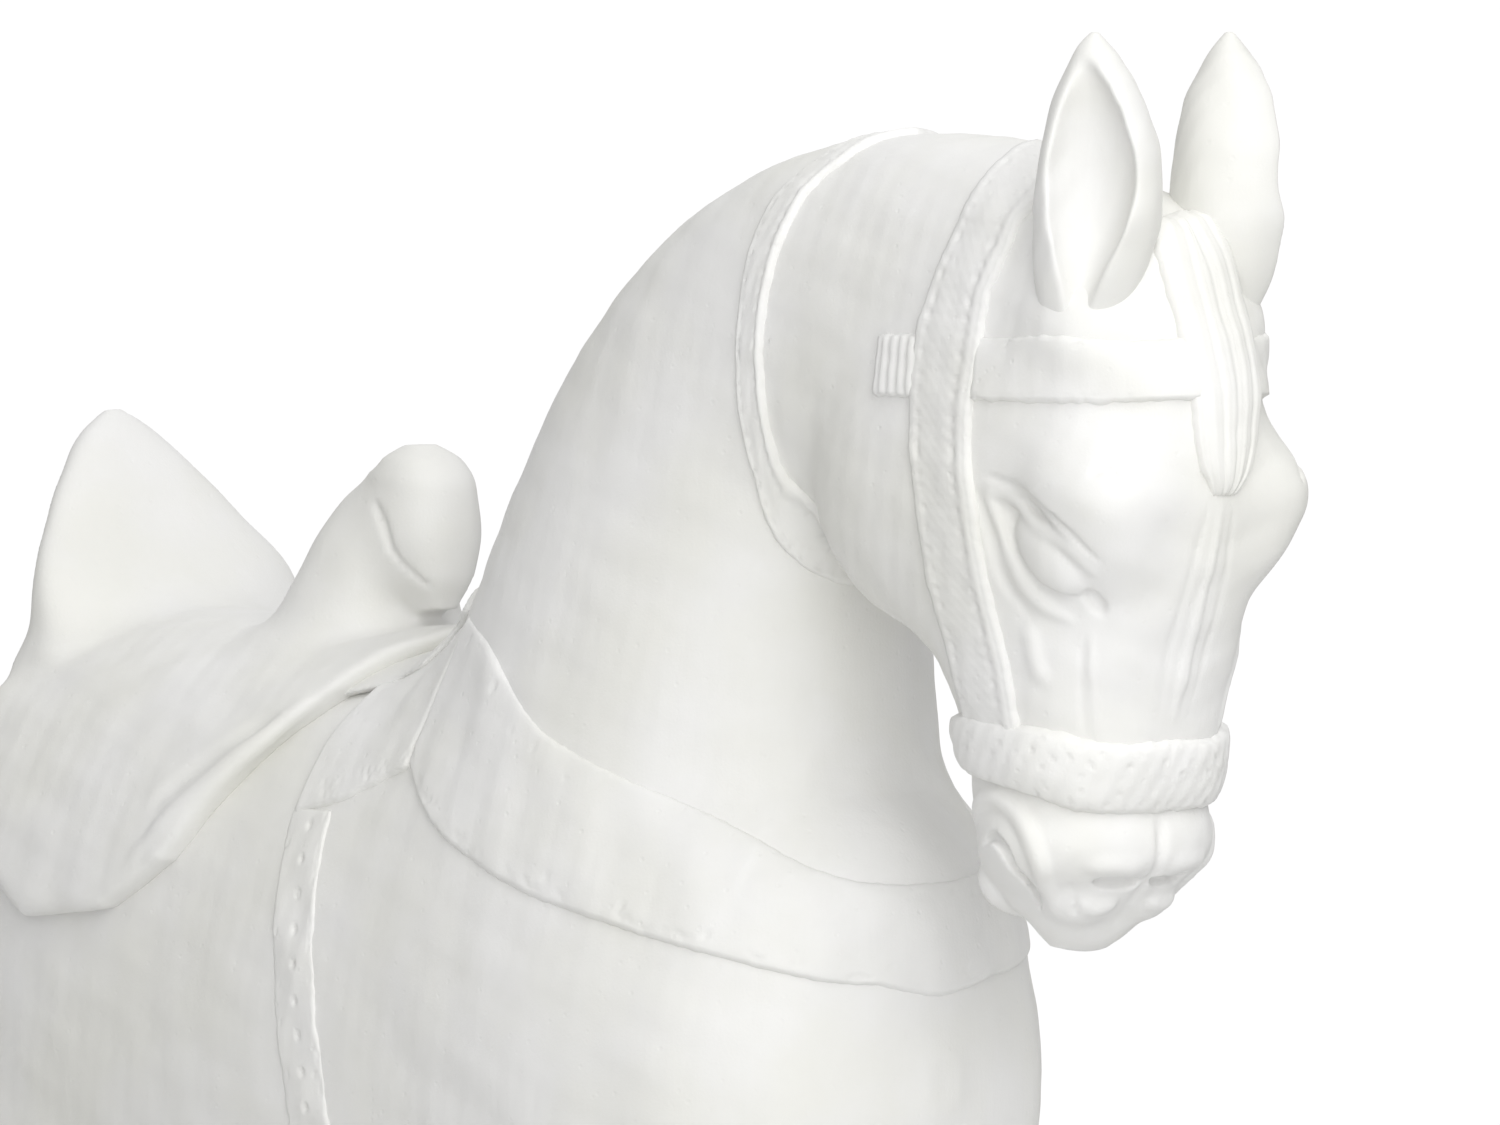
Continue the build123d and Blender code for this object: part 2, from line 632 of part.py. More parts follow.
# ---------------------------------------------------------------- plinth
def make_plinth():
    """Hollow round plinth, its rubber-faced base plate, screws and sand."""
    floor = RUBBER_T
    plate_top = RUBBER_T + PLATE_T
    ceiling = PLINTH_TOP - PLINTH_WALL
    with BuildPart() as plinth:
        with BuildSketch(Plane.XZ):
            with BuildLine():
                Line((0, PLINTH_TOP), (TOP_R, PLINTH_TOP))
                TangentArc((TOP_R, PLINTH_TOP), (DRUM_R, PLINTH_TOP - PLINTH_ROUND), tangent=(1, 0))
                Line((DRUM_R, PLINTH_TOP - PLINTH_ROUND), (DRUM_R, FOOT_TOP))
                ThreePointArc((DRUM_R, FOOT_TOP), (PLINTH_R - 5, FOOT_TOP - 4), (PLINTH_R, FOOT_EDGE))
                Line((PLINTH_R, FOOT_EDGE), (PLINTH_R, floor))
                Line((PLINTH_R, floor), (PLATE_R + 1, floor))
                Line((PLATE_R + 1, floor), (PLATE_R + 1, plate_top))
                Line((PLATE_R + 1, plate_top), (FLANGE_R, plate_top))
                Line((FLANGE_R, plate_top), (FLANGE_R, plate_top + FLANGE_T))
                Line((FLANGE_R, plate_top + FLANGE_T), (DRUM_R - PLINTH_WALL, plate_top + FLANGE_T))
                Line((DRUM_R - PLINTH_WALL, plate_top + FLANGE_T), (DRUM_R - PLINTH_WALL, ceiling))
                Line((DRUM_R - PLINTH_WALL, ceiling), (0, ceiling))
                Line((0, ceiling), (0, PLINTH_TOP))
            make_face()
        revolve(axis=Axis.Z)
        with Locations(Plane(origin=(0, NECK_Y[0], PLUG_Z), z_dir=(0, 1, 0))):
            Cylinder(NECK_R, FILLER_HOLE_L, mode=Mode.SUBTRACT)
        for leg in LEGS:
            for side in SIDES:
                add(rod_solid(leg, side, ROD_HOLE_R), mode=Mode.SUBTRACT)
        with Locations(Plane(origin=(0, 0, plate_top))):
            with PolarLocations(SCREW_RING_R, SCREW_COUNT, start_angle=SCREW_START):
                Cylinder(SCREW_R, 2 * (SCREW_L - PLATE_T), mode=Mode.SUBTRACT)
    finish(plinth, "plinth")

    with BuildPart() as plate:
        with BuildSketch(Plane.XY.offset(floor)):
            Circle(PLATE_R)
            with PolarLocations(SCREW_RING_R, SCREW_COUNT, start_angle=SCREW_START):
                Circle(SCREW_R, mode=Mode.SUBTRACT)
        extrude(amount=PLATE_T)
        with Locations(Plane(origin=(0, 0, floor))):
            with PolarLocations(SCREW_RING_R, SCREW_COUNT, start_angle=SCREW_START):
                Cylinder(SCREW_HEAD_R, 2 * SCREW_R, mode=Mode.SUBTRACT)
    finish(plate, "base_plate")

    with BuildPart() as screws:
        with BuildSketch(Plane.XY.offset(floor)):
            with PolarLocations(SCREW_RING_R, SCREW_COUNT, start_angle=SCREW_START):
                Circle(SCREW_HEAD_R)
        extrude(amount=SCREW_R)
        with BuildSketch(Plane.XY.offset(floor)):
            with PolarLocations(SCREW_RING_R, SCREW_COUNT, start_angle=SCREW_START):
                Circle(SCREW_R)
        extrude(amount=SCREW_L)
    finish(screws, "base_screws")

    with BuildPart() as rubber:
        with BuildSketch():
            Circle(RUBBER_R)
        extrude(amount=RUBBER_T)
        chamfer(rubber.edges().group_by(Axis.Z)[0], 1)
    finish(rubber, "rubber_foot")

    with BuildPart() as sand:
        with BuildSketch(Plane.XY.offset(plate_top)):
            Circle(FLANGE_R - 1)
        extrude(amount=SAND_TOP - plate_top)
        with Locations(Plane(origin=(0, NECK_Y[0], PLUG_Z), z_dir=(0, 1, 0))):
            Cylinder(NECK_R + 1, FILLER_HOLE_L, mode=Mode.SUBTRACT)
    finish(sand, "sand_ballast")


def make_filler():
    """Filler neck, washer and coin-slotted screw plug, on an axis along +Y."""
    face = NECK_Y[1]
    axis = Plane(origin=(0, face, PLUG_Z), x_dir=(1, 0, 0), z_dir=(0, 1, 0))
    with BuildPart() as neck:
        with BuildSketch(axis):
            Circle(NECK_R)
            Circle(PLUG_R + THREAD_CLEARANCE, mode=Mode.SUBTRACT)
        extrude(amount=NECK_Y[0] - face)
        chamfer(neck.edges().group_by(Axis.Y)[-1].sort_by(SortBy.LENGTH)[-1], 1)
    finish(neck, "filler_neck")
    with BuildPart() as washer:
        with BuildSketch(axis):
            Circle(WASHER_R)
            Circle(PLUG_R + THREAD_CLEARANCE, mode=Mode.SUBTRACT)
        extrude(amount=WASHER_T)
    finish(washer, "plug_washer")
    head_base = axis.offset(WASHER_T)
    with BuildPart() as plug:
        with BuildSketch(head_base):
            Circle(PLUG_HEAD_R)
            with PolarLocations(PLUG_HEAD_R + 0.6, GRIP_COUNT):
                Circle(GRIP_R, mode=Mode.SUBTRACT)
        extrude(amount=PLUG_HEAD_T)
        with BuildSketch(head_base):
            Circle(PLUG_R)
        extrude(amount=-WASHER_T - PLUG_SHANK_L)
        with BuildSketch(head_base.offset(PLUG_HEAD_T)):
            SlotOverall(PLUG_SLOT[0], PLUG_SLOT[1])
        extrude(amount=-PLUG_SLOT[2], mode=Mode.SUBTRACT)
    finish(plug, "filler_plug")


# ---------------------------------------------------------------- armature
def make_armature():
    """Steel rods, cross plates, spine, neck post and nuts inside the castings."""
    for leg in LEGS:
        with BuildPart() as rod:
            add(rod_solid(leg, -1, ROD_R))
        finish_pair(rod, f"{leg}_rod")
    ends = {"foreleg": FORE_ROD[-1][0], "hindleg": HIND_ROD[-1][0]}
    feet = {"foreleg": FORE_ROD[0][0], "hindleg": HIND_ROD[0][0]}
    for leg, y in ends.items():
        with BuildPart() as cross:
            with BuildSketch(Plane.XY.offset(CROSS_Z)):
                with Locations((0, y)):
                    RectangleRounded(CROSS_L, CROSS_W, 6)
                with Locations((-LEG_X, y), (LEG_X, y)):
                    Circle(ROD_R, mode=Mode.SUBTRACT)
            extrude(amount=CROSS_T)
        finish(cross, f"{leg}_cross_plate")
    with BuildPart() as nuts:
        for y in ends.values():
            with BuildSketch(Plane.XY.offset(CROSS_Z + CROSS_T)):
                with Locations((-LEG_X, y), (LEG_X, y)):
                    RegularPolygon(NUT_R, 6)
                    Circle(ROD_R, mode=Mode.SUBTRACT)
            extrude(amount=NUT_T)
        for y in feet.values():
            with BuildSketch(Plane.XY.offset(PLINTH_TOP - PLINTH_WALL)):
                with Locations((-LEG_X, y), (LEG_X, y)):
                    RegularPolygon(NUT_R, 6)
                    Circle(ROD_R, mode=Mode.SUBTRACT)
            extrude(amount=-NUT_T)
    finish(nuts, "rod_nuts")
    with BuildPart() as spine:
        with BuildSketch(across(ends["foreleg"] - CROSS_W / 2, CROSS_Z + CROSS_T + SPINE / 2)):
            RectangleRounded(SPINE, SPINE, 3)
            RectangleRounded(SPINE - 5, SPINE - 5, 1, mode=Mode.SUBTRACT)
        extrude(amount=-(ends["hindleg"] - ends["foreleg"] + CROSS_W))
    finish(spine, "spine_tube")
    with BuildPart() as post:
        add(bent_rod(0, NECK_POST, POST_R, POST_BEND_R))
    finish(post, "neck_post")


make_body()
make_seam_strip()
make_head()
make_ears()
make_legs()
make_tail()
make_saddle()
make_trunk_tack()
make_bridle()
make_plinth()
make_filler()
make_armature()
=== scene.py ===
"""Giant lawn chess knight: the looks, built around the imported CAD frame.

Lengths in this script are millimetres until a mesh is made, in the frame's own axes: the horse faces
-Y, +X is its left side and +Z is up. The horse is modelled as clay: solid fields that are blended,
carved and stroked on a grid, then skinned. Tack is laid on the clay's surface as padded bands.
"""
import bpy
import bmesh
import math
import numpy as np
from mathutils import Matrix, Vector


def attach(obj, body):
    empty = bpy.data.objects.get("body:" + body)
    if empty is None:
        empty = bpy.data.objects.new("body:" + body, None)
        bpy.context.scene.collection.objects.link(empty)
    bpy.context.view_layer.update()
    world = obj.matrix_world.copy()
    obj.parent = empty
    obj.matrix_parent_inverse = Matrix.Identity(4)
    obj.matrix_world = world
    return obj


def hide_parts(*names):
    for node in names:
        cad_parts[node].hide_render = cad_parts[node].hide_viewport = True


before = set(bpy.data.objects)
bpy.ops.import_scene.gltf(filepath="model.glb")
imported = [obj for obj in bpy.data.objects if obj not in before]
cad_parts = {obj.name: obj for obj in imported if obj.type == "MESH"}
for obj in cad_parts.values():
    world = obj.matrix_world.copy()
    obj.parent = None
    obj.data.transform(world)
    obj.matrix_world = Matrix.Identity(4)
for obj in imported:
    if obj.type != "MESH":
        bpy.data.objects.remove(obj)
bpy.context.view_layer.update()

MM = 0.001
LEG_CUT = 372.0            # joints between castings, as in the CAD
HEAD_CUT = -228.0
THROAT_Z = 705.0           # the head hangs clear of the neck below this height, in front of JAW_Y
JAW_Y = -272.0
OVERLAP = 2.5              # the body runs this far into the head, so that no gap shows
PLINTH_TOP = 72.0
LEG_X = 62.0
HEAD_STEP = 1.3            # grid spacing of the head, the ears and the body
EAR_STEP = 0.9
BODY_STEP = 2.6
SADDLE_STEP = 1.8

# Stations, as in the CAD. A row is two opposite points of a section in the side view as Y, Z, Y, Z,
# and its half width.
def upright(rows):
    """Sections across a long body, from rows of Y, half width, middle height, half height."""
    return [(y, mid + half, y, mid - half, wide) for y, wide, mid, half in rows]


def level(rows):
    """Level sections, from rows of height, Y, half width, half depth."""
    return [(y - half, z, y + half, z, wide) for z, y, wide, half in rows]


TRUNK = upright([
    (-266, 8, 529, 10),
    (-262, 30, 528, 36),
    (-246, 66, 524, 72),
    (-205, 95, 522, 110),
    (-140, 106, 524, 135),
    (-60, 108, 530, 148),
    (40, 112, 526, 146),
    (130, 112, 536, 138),
    (205, 106, 554, 120),
    (262, 86, 560, 92),
    (290, 44, 558, 48),
    (294, 8, 558, 8),
])
NECK = [
    (12, 600, -232, 480, 96),
    (0, 640, -236, 520, 92),
    (-26, 690, -240, 568, 86),
    (-52, 742, -228, 630, 76),
    (-84, 795, -226, 680, 66),
    (-136, 844, -229, 716, 58),
    (-192, 869, -230, 722, 54),
    (-228, 876, -228, 724, 53),
    (-275, 878, -275, 724, 52),
    (-325, 873, -325, 745, 48),
    (-362, 858, -362, 770, 40),
    (-385, 838, -385, 790, 26),
]
SKULL = [
    (-392, 846, -300, 846, 38),
    (-404, 815, -262, 815, 48),
    (-412, 785, -240, 785, 54),
    (-414, 755, -236, 755, 56),
    (-409, 728, -242, 728, 55),
    (-402, 708, -260, 708, 52),
    (-394, 686, -291, 686, 49),
    (-387, 662, -304, 662, 45),
    (-381, 640, -309, 640, 43),
    (-378, 618, -311, 618, 41),
    (-367, 603, -314, 603, 30),
    (-354, 592, -329, 592, 21),
    (-345, 585, -334, 585, 13),
]
FORELEG = level([
    (505, -158, 22, 40),
    (470, -163, 40, 60),
    (420, -167, 42, 55),
    (372, -169, 33, 42),
    (320, -170, 24, 29),
    (270, -170, 20, 23),
    (245, -171, 22, 24),
    (215, -169, 17, 19),
    (165, -169, 15, 17),
    (125, -171, 18, 20),
    (105, -175, 16, 17),
    (92, -179, 20, 22),
    (60, -186, 30, 34),
])
HINDLEG = level([
    (525, 190, 22, 50),
    (480, 190, 40, 80),
    (420, 190, 42, 68),
    (372, 184, 33, 48),
    (320, 188, 24, 32),
    (275, 202, 20, 27),
    (245, 202, 17, 21),
    (180, 191, 16, 18),
    (125, 180, 18, 20),
    (105, 175, 16, 17),
    (92, 170, 20, 22),
    (60, 162, 30, 34),
])
EAR_X = 33.0
EAR_TURN = 28.0
EAR = level([
    (796, -371, 10, 10),
    (812, -375, 15, 15),
    (835, -381, 21, 21),
    (852, -384, 23, 23),
    (870, -385, 22, 22),
    (889, -384, 17, 18),
    (904, -383, 10, 10),
    (911, -382, 5.5, 5),
    (915, -382, 1.5, 1.5),
])
EAR_HOLLOW = level([
    (816, -387, 3, 4),
    (832, -390, 8, 10),
    (848, -393, 13.5, 16),
    (866, -394, 15.5, 18),
    (884, -393, 12, 15),
    (898, -391, 6.5, 9),
    (907, -388, 2.5, 4),
])
TAIL = level([
    (640, 272, 8, 8),
    (628, 282, 14, 14),
    (600, 303, 21, 21),
    (520, 315, 26, 26),
    (420, 312, 25, 25),
    (330, 303, 18, 18),
    (262, 296, 7, 7),
])
# Side-view outlines of the saddle's layers: Y, Z.
PAD = [(-26, 735), (-40, 694), (-22, 672), (-4, 664), (14, 660), (30, 654), (214, 640), (232, 735)]
SADDLE = [(8, 735), (2, 684), (14, 662), (28, 645), (45, 621), (62, 596), (92, 576), (140, 570), (178, 592),
          (206, 640), (222, 735)]
FLAP_TOP = 634.0           # the seat ends and the flaps begin here
POMMEL = [
    (50, 640, 108, 660, 66),
    (46, 664, 100, 680, 46),
    (42, 686, 90, 702, 35),
    (36, 706, 80, 722, 28),
    (30, 722, 72, 734, 21),
    (28, 736, 60, 743, 14),
]
KNOB = level([
    (754, 38, 6, 6),
    (749, 37, 14, 14),
    (738, 34, 18, 18),
    (720, 32, 19, 18),
    (704, 30, 15, 15),
    (692, 28, 7, 7),
])
CANTLE = [
    (172, 676, 220, 660, 68),
    (188, 699, 214, 690, 64),
    (204, 720, 222, 713, 50),
    (216, 740, 232, 735, 33),
    (226, 756, 238, 753, 16),
    (231, 762, 237, 761, 5),
]
# Scroll of the pommel, the crease between seat and flap front, and the roll along the front edge.
SADDLE_ROLLS = [
    ([(20, 42, 733), (21, 35, 724), (20, 31, 713), (18, 24, 704), (14, 15, 697)], -1.7, -0.3, 1.8),
    ([(88, 16, 672), (98, 36, 646), (106, 58, 618), (108, 78, 596)], 3.5, -1.6, 4.0),
    ([(92, 32, 672), (101, 52, 646), (108, 74, 618)], -4.0, 2.6, 4.0),
]

# Small forms of the head: points, radius, lift, softness; a negative radius presses a groove.
HEAD_ROLLS = [
    # upper lid, the fold over it, lower lid, the groove under the eyeball, tear duct
    ([(50, -348, 752), (52, -360, 748), (54, -374, 741), (52, -387, 732), (46, -396, 720)], 2.6, -0.7, 2.5),
    ([(52, -346, 757), (55, -360, 754), (57, -376, 747), (54, -391, 738), (47, -401, 724)], -1.7, 0.3, 1.2),
    ([(50, -348, 750), (50, -353, 738), (49, -360, 724), (46, -369, 712), (41, -380, 705)], 2.9, -0.9, 2.5),
    ([(50, -352, 746), (51, -358, 734), (51, -367, 723), (48, -378, 714), (44, -388, 711)], -1.5, 0.0, 1.0),
    ([(48, -343, 752), (48, -347, 736), (47, -354, 720), (44, -364, 707)], -2.4, 1.4, 2.5),
    ([(43, -389, 713), (40, -393, 706)], -3.0, -0.3, 2.0),
    # edge of the nasal bone, crease over the brow, ridge down the middle of the face, cheek bone
    ([(36, -385, 702), (34, -382, 690), (31, -380, 678), (29, -379, 660)], 1.6, -0.8, 1.5),
    ([(40, -384, 700), (37, -380, 684), (34, -378, 662)], -1.6, 1.1, 1.5),
    ([(54, -401, 760), (48, -405, 761), (43, -409, 753)], -1.5, 0.5, 1.5),
    ([(0, -414, 748), (-0.5, -404, 726), (0.5, -395, 700), (0, -388, 668)], 2.0, -0.9, 1.8),
    ([(6, -413, 748), (8, -402, 724), (9, -394, 698), (7, -388, 668)], -1.6, 1.1, 1.5),
    ([(50, -364, 704), (50, -367, 690), (49, -371, 681)], 3.0, -2.0, 3.0),
    # upper lip, mouth, nostril with its rims, groove of the lip
    ([(38, -320, 628), (43, -329, 637), (46, -341, 640), (48, -352, 637), (47, -361, 628), (44, -364, 614),
      (41, -362, 602), (34, -355, 590)], 4.0, -1.2, 2.0),
    ([(44, -333, 623), (46, -342, 626), (46, -349, 621), (45, -351, 611), (42, -350, 600), (36, -345, 588)], -2.5, -1.2, 1.0),
    ([(22, -372, 609), (16, -375, 607), (9, -376, 606), (3, -377, 608)], -3.4, -1.2, 1.2),
    ([(26, -368, 600), (17, -370, 597), (8, -370, 599)], 3.4, -1.4, 2.5),
    ([(28, -374, 616), (17, -380, 615), (7, -380, 615)], 4.0, -2.2, 3.0),
    ([(32, -369, 606), (29, -367, 599), (27, -363, 592)], -1.5, 0.2, 1.2),
    ([(0, -383, 634), (0, -382, 616), (0, -368, 598)], -2.4, 1.2, 2.5),
]

# Looks: the photograph's camera, and the studio.
TARGET = Vector((0, -0.157, 0.716))
VIEW = (-41.0, 3.0)
VIEW_DISTANCE = 4.0
LENS = 256.0
FLOOR_RADIUS = 4.5
SKY_LIGHT = 0.74
SKY_LOW = 0.06
LIGHTS = [
    ("key", (-8, 42), 2.6, 2.3, 32),
    ("fill", (-40, 12), 2.6, 1.8, 25),
    ("back", (150, 35), 3.0, 2.0, 10),
]

CAD_FINISH = {
    "plinth": "plinth_white",
    "base_plate": "base_plate",
    "base_screws": "steel",
    "rubber_foot": "rubber_black",
    "filler_neck": "filler_neck",
    "filler_plug": "plug",
    "plug_washer": "washer",
    "sand_ballast": "sand",
    "spine_tube": "steel",
    "neck_post": "steel",
    "rod_nuts": "steel",
    "ear_pins": "steel",
    "tail_dowel": "laminate",
    "seam_strip": "laminate",
    "foreleg_cross_plate": "steel",
    "hindleg_cross_plate": "steel",
    "foreleg_rod_left": "steel",
    "foreleg_rod_right": "steel",
    "hindleg_rod_left": "steel",
    "hindleg_rod_right": "steel",
}


# ---------------------------------------------------------------- curves
def pchip(keys, values, at):
    """Values at new keys on monotone curves that never overshoot; one row of values per key."""
    keys = np.asarray(keys, float)
    values = np.asarray(values, float)
    step = np.diff(keys)[:, None]
    secant = np.diff(values, axis=0) / step
    product = secant[:-1] * secant[1:]
    total = secant[:-1] + secant[1:]
    inner = np.where(product > 0, 2 * product / np.where(total == 0, 1, total), 0)
    slope = np.vstack([secant[:1], inner, secant[-1:]])
    low = np.clip(np.searchsorted(keys, at, side="right") - 1, 0, len(keys) - 2)
    t = ((at - keys[low]) / np.diff(keys)[low])[:, None]
    span = step[low]
    start = (1 + 2 * t) * (1 - t) ** 2 * values[low] + t * (1 - t) ** 2 * span * slope[low]
    end = t * t * (3 - 2 * t) * values[low + 1] + t * t * (t - 1) * span * slope[low + 1]
    return start + end


def through(points, spacing=1.5):
    """Evenly spaced points on a smooth curve through the given ones."""
    points = np.asarray(points, float)
    if len(points) == 2:
        points = np.array([points[0], points.mean(0), points[1]])
    padded = np.vstack([2 * points[0] - points[1], points, 2 * points[-1] - points[-2]])
    spans = []
    for a, b, c, d in zip(padded, padded[1:], padded[2:], padded[3:]):
        count = max(2, int(np.linalg.norm(c[:3] - b[:3]) / spacing) + 1)
        t = np.linspace(0, 1, count, endpoint=False)[:, None]
        bend = (2 * b + (c - a) * t + (2 * a - 5 * b + 4 * c - d) * t ** 2 + (3 * b - a - 3 * c + d) * t ** 3) / 2
        spans.append(bend)
    return np.vstack(spans + [points[-1:]])


# ---------------------------------------------------------------- clay
class Clay:
    """Field on a regular grid over X >= 0, negative inside the clay; the other half mirrors it."""

    def __init__(self, low, high, step):
        self.step = step
        self.axes = [np.arange(a, b + step / 2, step, dtype=np.float32) for a, b in zip(low, high)]
        self.low = np.array([axis[0] for axis in self.axes])
        self.f = np.full([len(axis) for axis in self.axes], 50.0, np.float32)

    def window(self, low, high):
        """Slices and coordinates of the part of the grid between two corners, or None."""
        cut = []
        for axis, a, b in zip(self.axes, low, high):
            first = int(np.searchsorted(axis, a))
            last = int(np.searchsorted(axis, b, side="right"))
            if last - first < 2:
                return None
            cut.append(slice(first, last))
        x, y, z = (axis[part] for axis, part in zip(self.axes, cut))
        return tuple(cut), x[:, None, None], y[None, :, None], z[None, None, :]

    def blend(self, cut, distance, soft):
        """Add a shape, filling the crease round it over about soft millimetres."""
        here = self.f[cut]
        ease = np.maximum(soft - np.abs(here - distance), 0) / soft
        self.f[cut] = np.minimum(here, distance) - ease * ease * soft / 4

    def carve(self, cut, distance, soft):
        """Take a shape away, rounding the edge over about soft millimetres."""
        here = self.f[cut]
        ease = np.maximum(soft - np.abs(here + distance), 0) / soft
        self.f[cut] = np.maximum(here, -distance) + ease * ease * soft / 4

    def limb(self, rows, soft, power=2.0, middle=0.0, spin=0.0, away=False, pad=40.0):
        """Add a tube with superellipse sections, or take it away.

        Its middle line lies in the plane X = middle; spin turns each section outwards, in degrees.
        """
        rows = np.asarray(rows, float)
        centre = (rows[:, :2] + rows[:, 2:4]) / 2
        run = np.concatenate([[0], np.cumsum(np.linalg.norm(np.diff(centre, axis=0), axis=1))])
        count = int(run[-1] / 2.5) + 3
        rows = pchip(run, rows, np.linspace(0, run[-1], count)).astype(np.float32)
        first, second = rows[:, :2], rows[:, 2:4]
        low = (middle - rows[:, 4].max() - pad, *(np.minimum(first, second).min(0) - pad))
        high = (middle + rows[:, 4].max() + pad, *(np.maximum(first, second).max(0) + pad))
        found = self.window(low, high)
        if found is None:
            return
        cut, x, y, z = found
        yy, zz = np.meshgrid(y.ravel(), z.ravel(), indexing="ij")
        line = second - first
        length = np.linalg.norm(line, axis=1)
        ahead = (line[:, 0] * (zz[..., None] - first[:, 1]) - line[:, 1] * (yy[..., None] - first[:, 0])) / length
        if ahead[0, 0, 0] - ahead[0, 0, -1] > 0:
            forward = 1
        else:
            forward = -1
        ahead = ahead * forward
        passed = (ahead > 0).sum(-1)
        index = np.clip(passed - 1, 0, count - 2)
        here = np.take_along_axis(ahead, index[..., None], -1)[..., 0]
        after = np.take_along_axis(ahead, index[..., None] + 1, -1)[..., 0]
        part = np.clip(here / np.where(here == after, 1, here - after), 0, 1)[..., None]
        over = np.where(passed == 0, -ahead[..., 0], np.where(passed == count, ahead[..., -1], 0))[None]
        row = rows[index] * (1 - part) + rows[index + 1] * part
        ry, rz, sy, sz = (row[..., k] for k in range(4))
        half_depth = np.hypot(sy - ry, sz - rz) / 2
        across = ((yy - (ry + sy) / 2) * (ry - sy) + (zz - (rz + sz) / 2) * (rz - sz)) / (2 * half_depth)
        half_width = row[..., 4][None]
        half_depth, across = half_depth[None], across[None]
        side = x - middle
        c, s = math.cos(math.radians(spin)), math.sin(math.radians(spin))
        side, across = side * c - across * s, side * s + across * c
        radius = np.sqrt(side ** 2 + across ** 2) + 1e-4
        ratio = (np.abs(side / half_width) ** power + np.abs(across / half_depth) ** power) ** (1 / power)
        distance = radius * (1 - 1 / np.maximum(ratio, 1e-4))
        distance = np.maximum(distance, -np.minimum(half_width, half_depth))
        past = np.sqrt(np.maximum(distance, 0) ** 2 + over ** 2)
        distance = np.where(over > 0, np.where(distance > 0, past, np.minimum(over, 50)), distance)
        if away:
            self.carve(cut, distance.astype(np.float32), soft)
        else:
            self.blend(cut, distance.astype(np.float32), soft)

    def ball(self, centre, radii, soft, turn=(0, 0, 0), away=False):
        """Add an ellipsoid, or take it away, turned by degrees about X, Y and Z."""
        reach = max(radii) + soft + 3
        found = self.window([c - reach for c in centre], [c + reach for c in centre])
        if found is None:
            return
        cut, x, y, z = found
        offset = np.stack(np.broadcast_arrays(x - centre[0], y - centre[1], z - centre[2]), -1)
        if any(turn):
            offset = offset @ rotation(turn)
        scaled = offset / np.asarray(radii, np.float32)
        size = np.linalg.norm(scaled, axis=-1)
        slope = np.linalg.norm(scaled / np.asarray(radii, np.float32), axis=-1)
        distance = size * (size - 1) / np.maximum(slope, 1e-5)
        if away:
            self.carve(cut, distance, soft)
        else:
            self.blend(cut, distance, soft)

    def roll(self, points, radius, lift, soft):
        """Lay a round roll along a curve on the surface, or press a groove if radius is negative.

        lift is how far the roll's middle line stands above the surface.
        """
        points = self.snapped(np.asarray(points, float))
        line = through(points + self.normals(points) * lift, max(1.0, self.step))
        ends = np.linspace(0, 1, len(line))
        taper = np.clip(np.minimum(ends, 1 - ends) * 5, 0, 1) ** 0.5
        reach = abs(radius) + soft + 3
        found = self.window(line.min(0) - reach, line.max(0) + reach)
        if found is None:
            return
        cut, x, y, z = found
        best = np.full(np.broadcast_shapes(x.shape, y.shape, z.shape), 1e3, np.float32)
        for (px, py, pz), share in zip(line.astype(np.float32), taper.astype(np.float32)):
            gap = np.sqrt((x - px) ** 2 + (y - py) ** 2 + (z - pz) ** 2) - abs(radius) * share
            best = np.minimum(best, gap)
        if radius > 0:
            self.blend(cut, best, soft)
        else:
            self.carve(cut, best, soft)

    def sample(self, points):
        """Field at any points, by blending the eight grid values round each."""
        points = np.asarray(points, float)
        place = np.stack([np.abs(points[:, 0]), points[:, 1], points[:, 2]], 1)
        place = (place - self.low) / self.step
        top = np.array(self.f.shape) - 1.001
        place = np.clip(place, 0, top)
        low = place.astype(int)
        part = place - low
        value = 0
        for corner in range(8):
            shift = np.array([corner & 1, corner >> 1 & 1, corner >> 2])
            index = low + shift
            weight = np.prod(np.where(shift == 1, part, 1 - part), axis=1)
            value = value + weight * self.f[index[:, 0], index[:, 1], index[:, 2]]
        return value

    def gradient(self, points):
        """Slope of the field at any points."""
        points = np.asarray(points, float)
        slope = np.empty_like(points)
        for axis in range(3):
            shift = np.zeros(3)
            shift[axis] = self.step * 0.75
            slope[:, axis] = (self.sample(points + shift) - self.sample(points - shift)) / (1.5 * self.step)
        return slope

    def rough(self, length, height, seed):
        """Ripple the surface by height over about length millimetres."""
        random = np.random.default_rng(seed)
        total = np.zeros_like(self.f)
        x, y, z = np.ix_(*self.axes)
        for _ in range(4):
            a, b, c = random.normal(0, 2.2 / length, 3)
            d, e, g = random.normal(0, 2.2 / length, 3)
            total += np.sin(a * x + b * y + c * z + random.uniform(0, 6)) * np.sin(d * x + e * y + g * z)
        self.f += total * (height / 2)

    def snapped(self, points, rounds=6):
        """The same points moved onto the surface."""
        points = np.array(points, float)
        for _ in range(rounds):
            value = self.sample(points)
            slope = self.gradient(points)
            size = np.maximum((slope ** 2).sum(1), 0.05)
            points -= np.clip(value / size, -6, 6)[:, None] * slope
        return points

    def side(self, outline):
        """Points on the flank, X >= 0, that a side view shows at these (Y, Z)."""
        points = []
        for y, z in outline:
            x = np.arange(self.axes[0][-1], 0, -0.5)
            depth = self.sample(np.stack([x, np.full_like(x, y), np.full_like(x, z)], 1))
            inside = np.flatnonzero(depth < 0)
            points.append((x[inside[0]] if len(inside) else 0.0, y, z))
        return np.array(points)

    def normals(self, points):
        """Unit outward normals at any points."""
        slope = self.gradient(points)
        return slope / np.maximum(np.linalg.norm(slope, axis=1, keepdims=True), 1e-6)

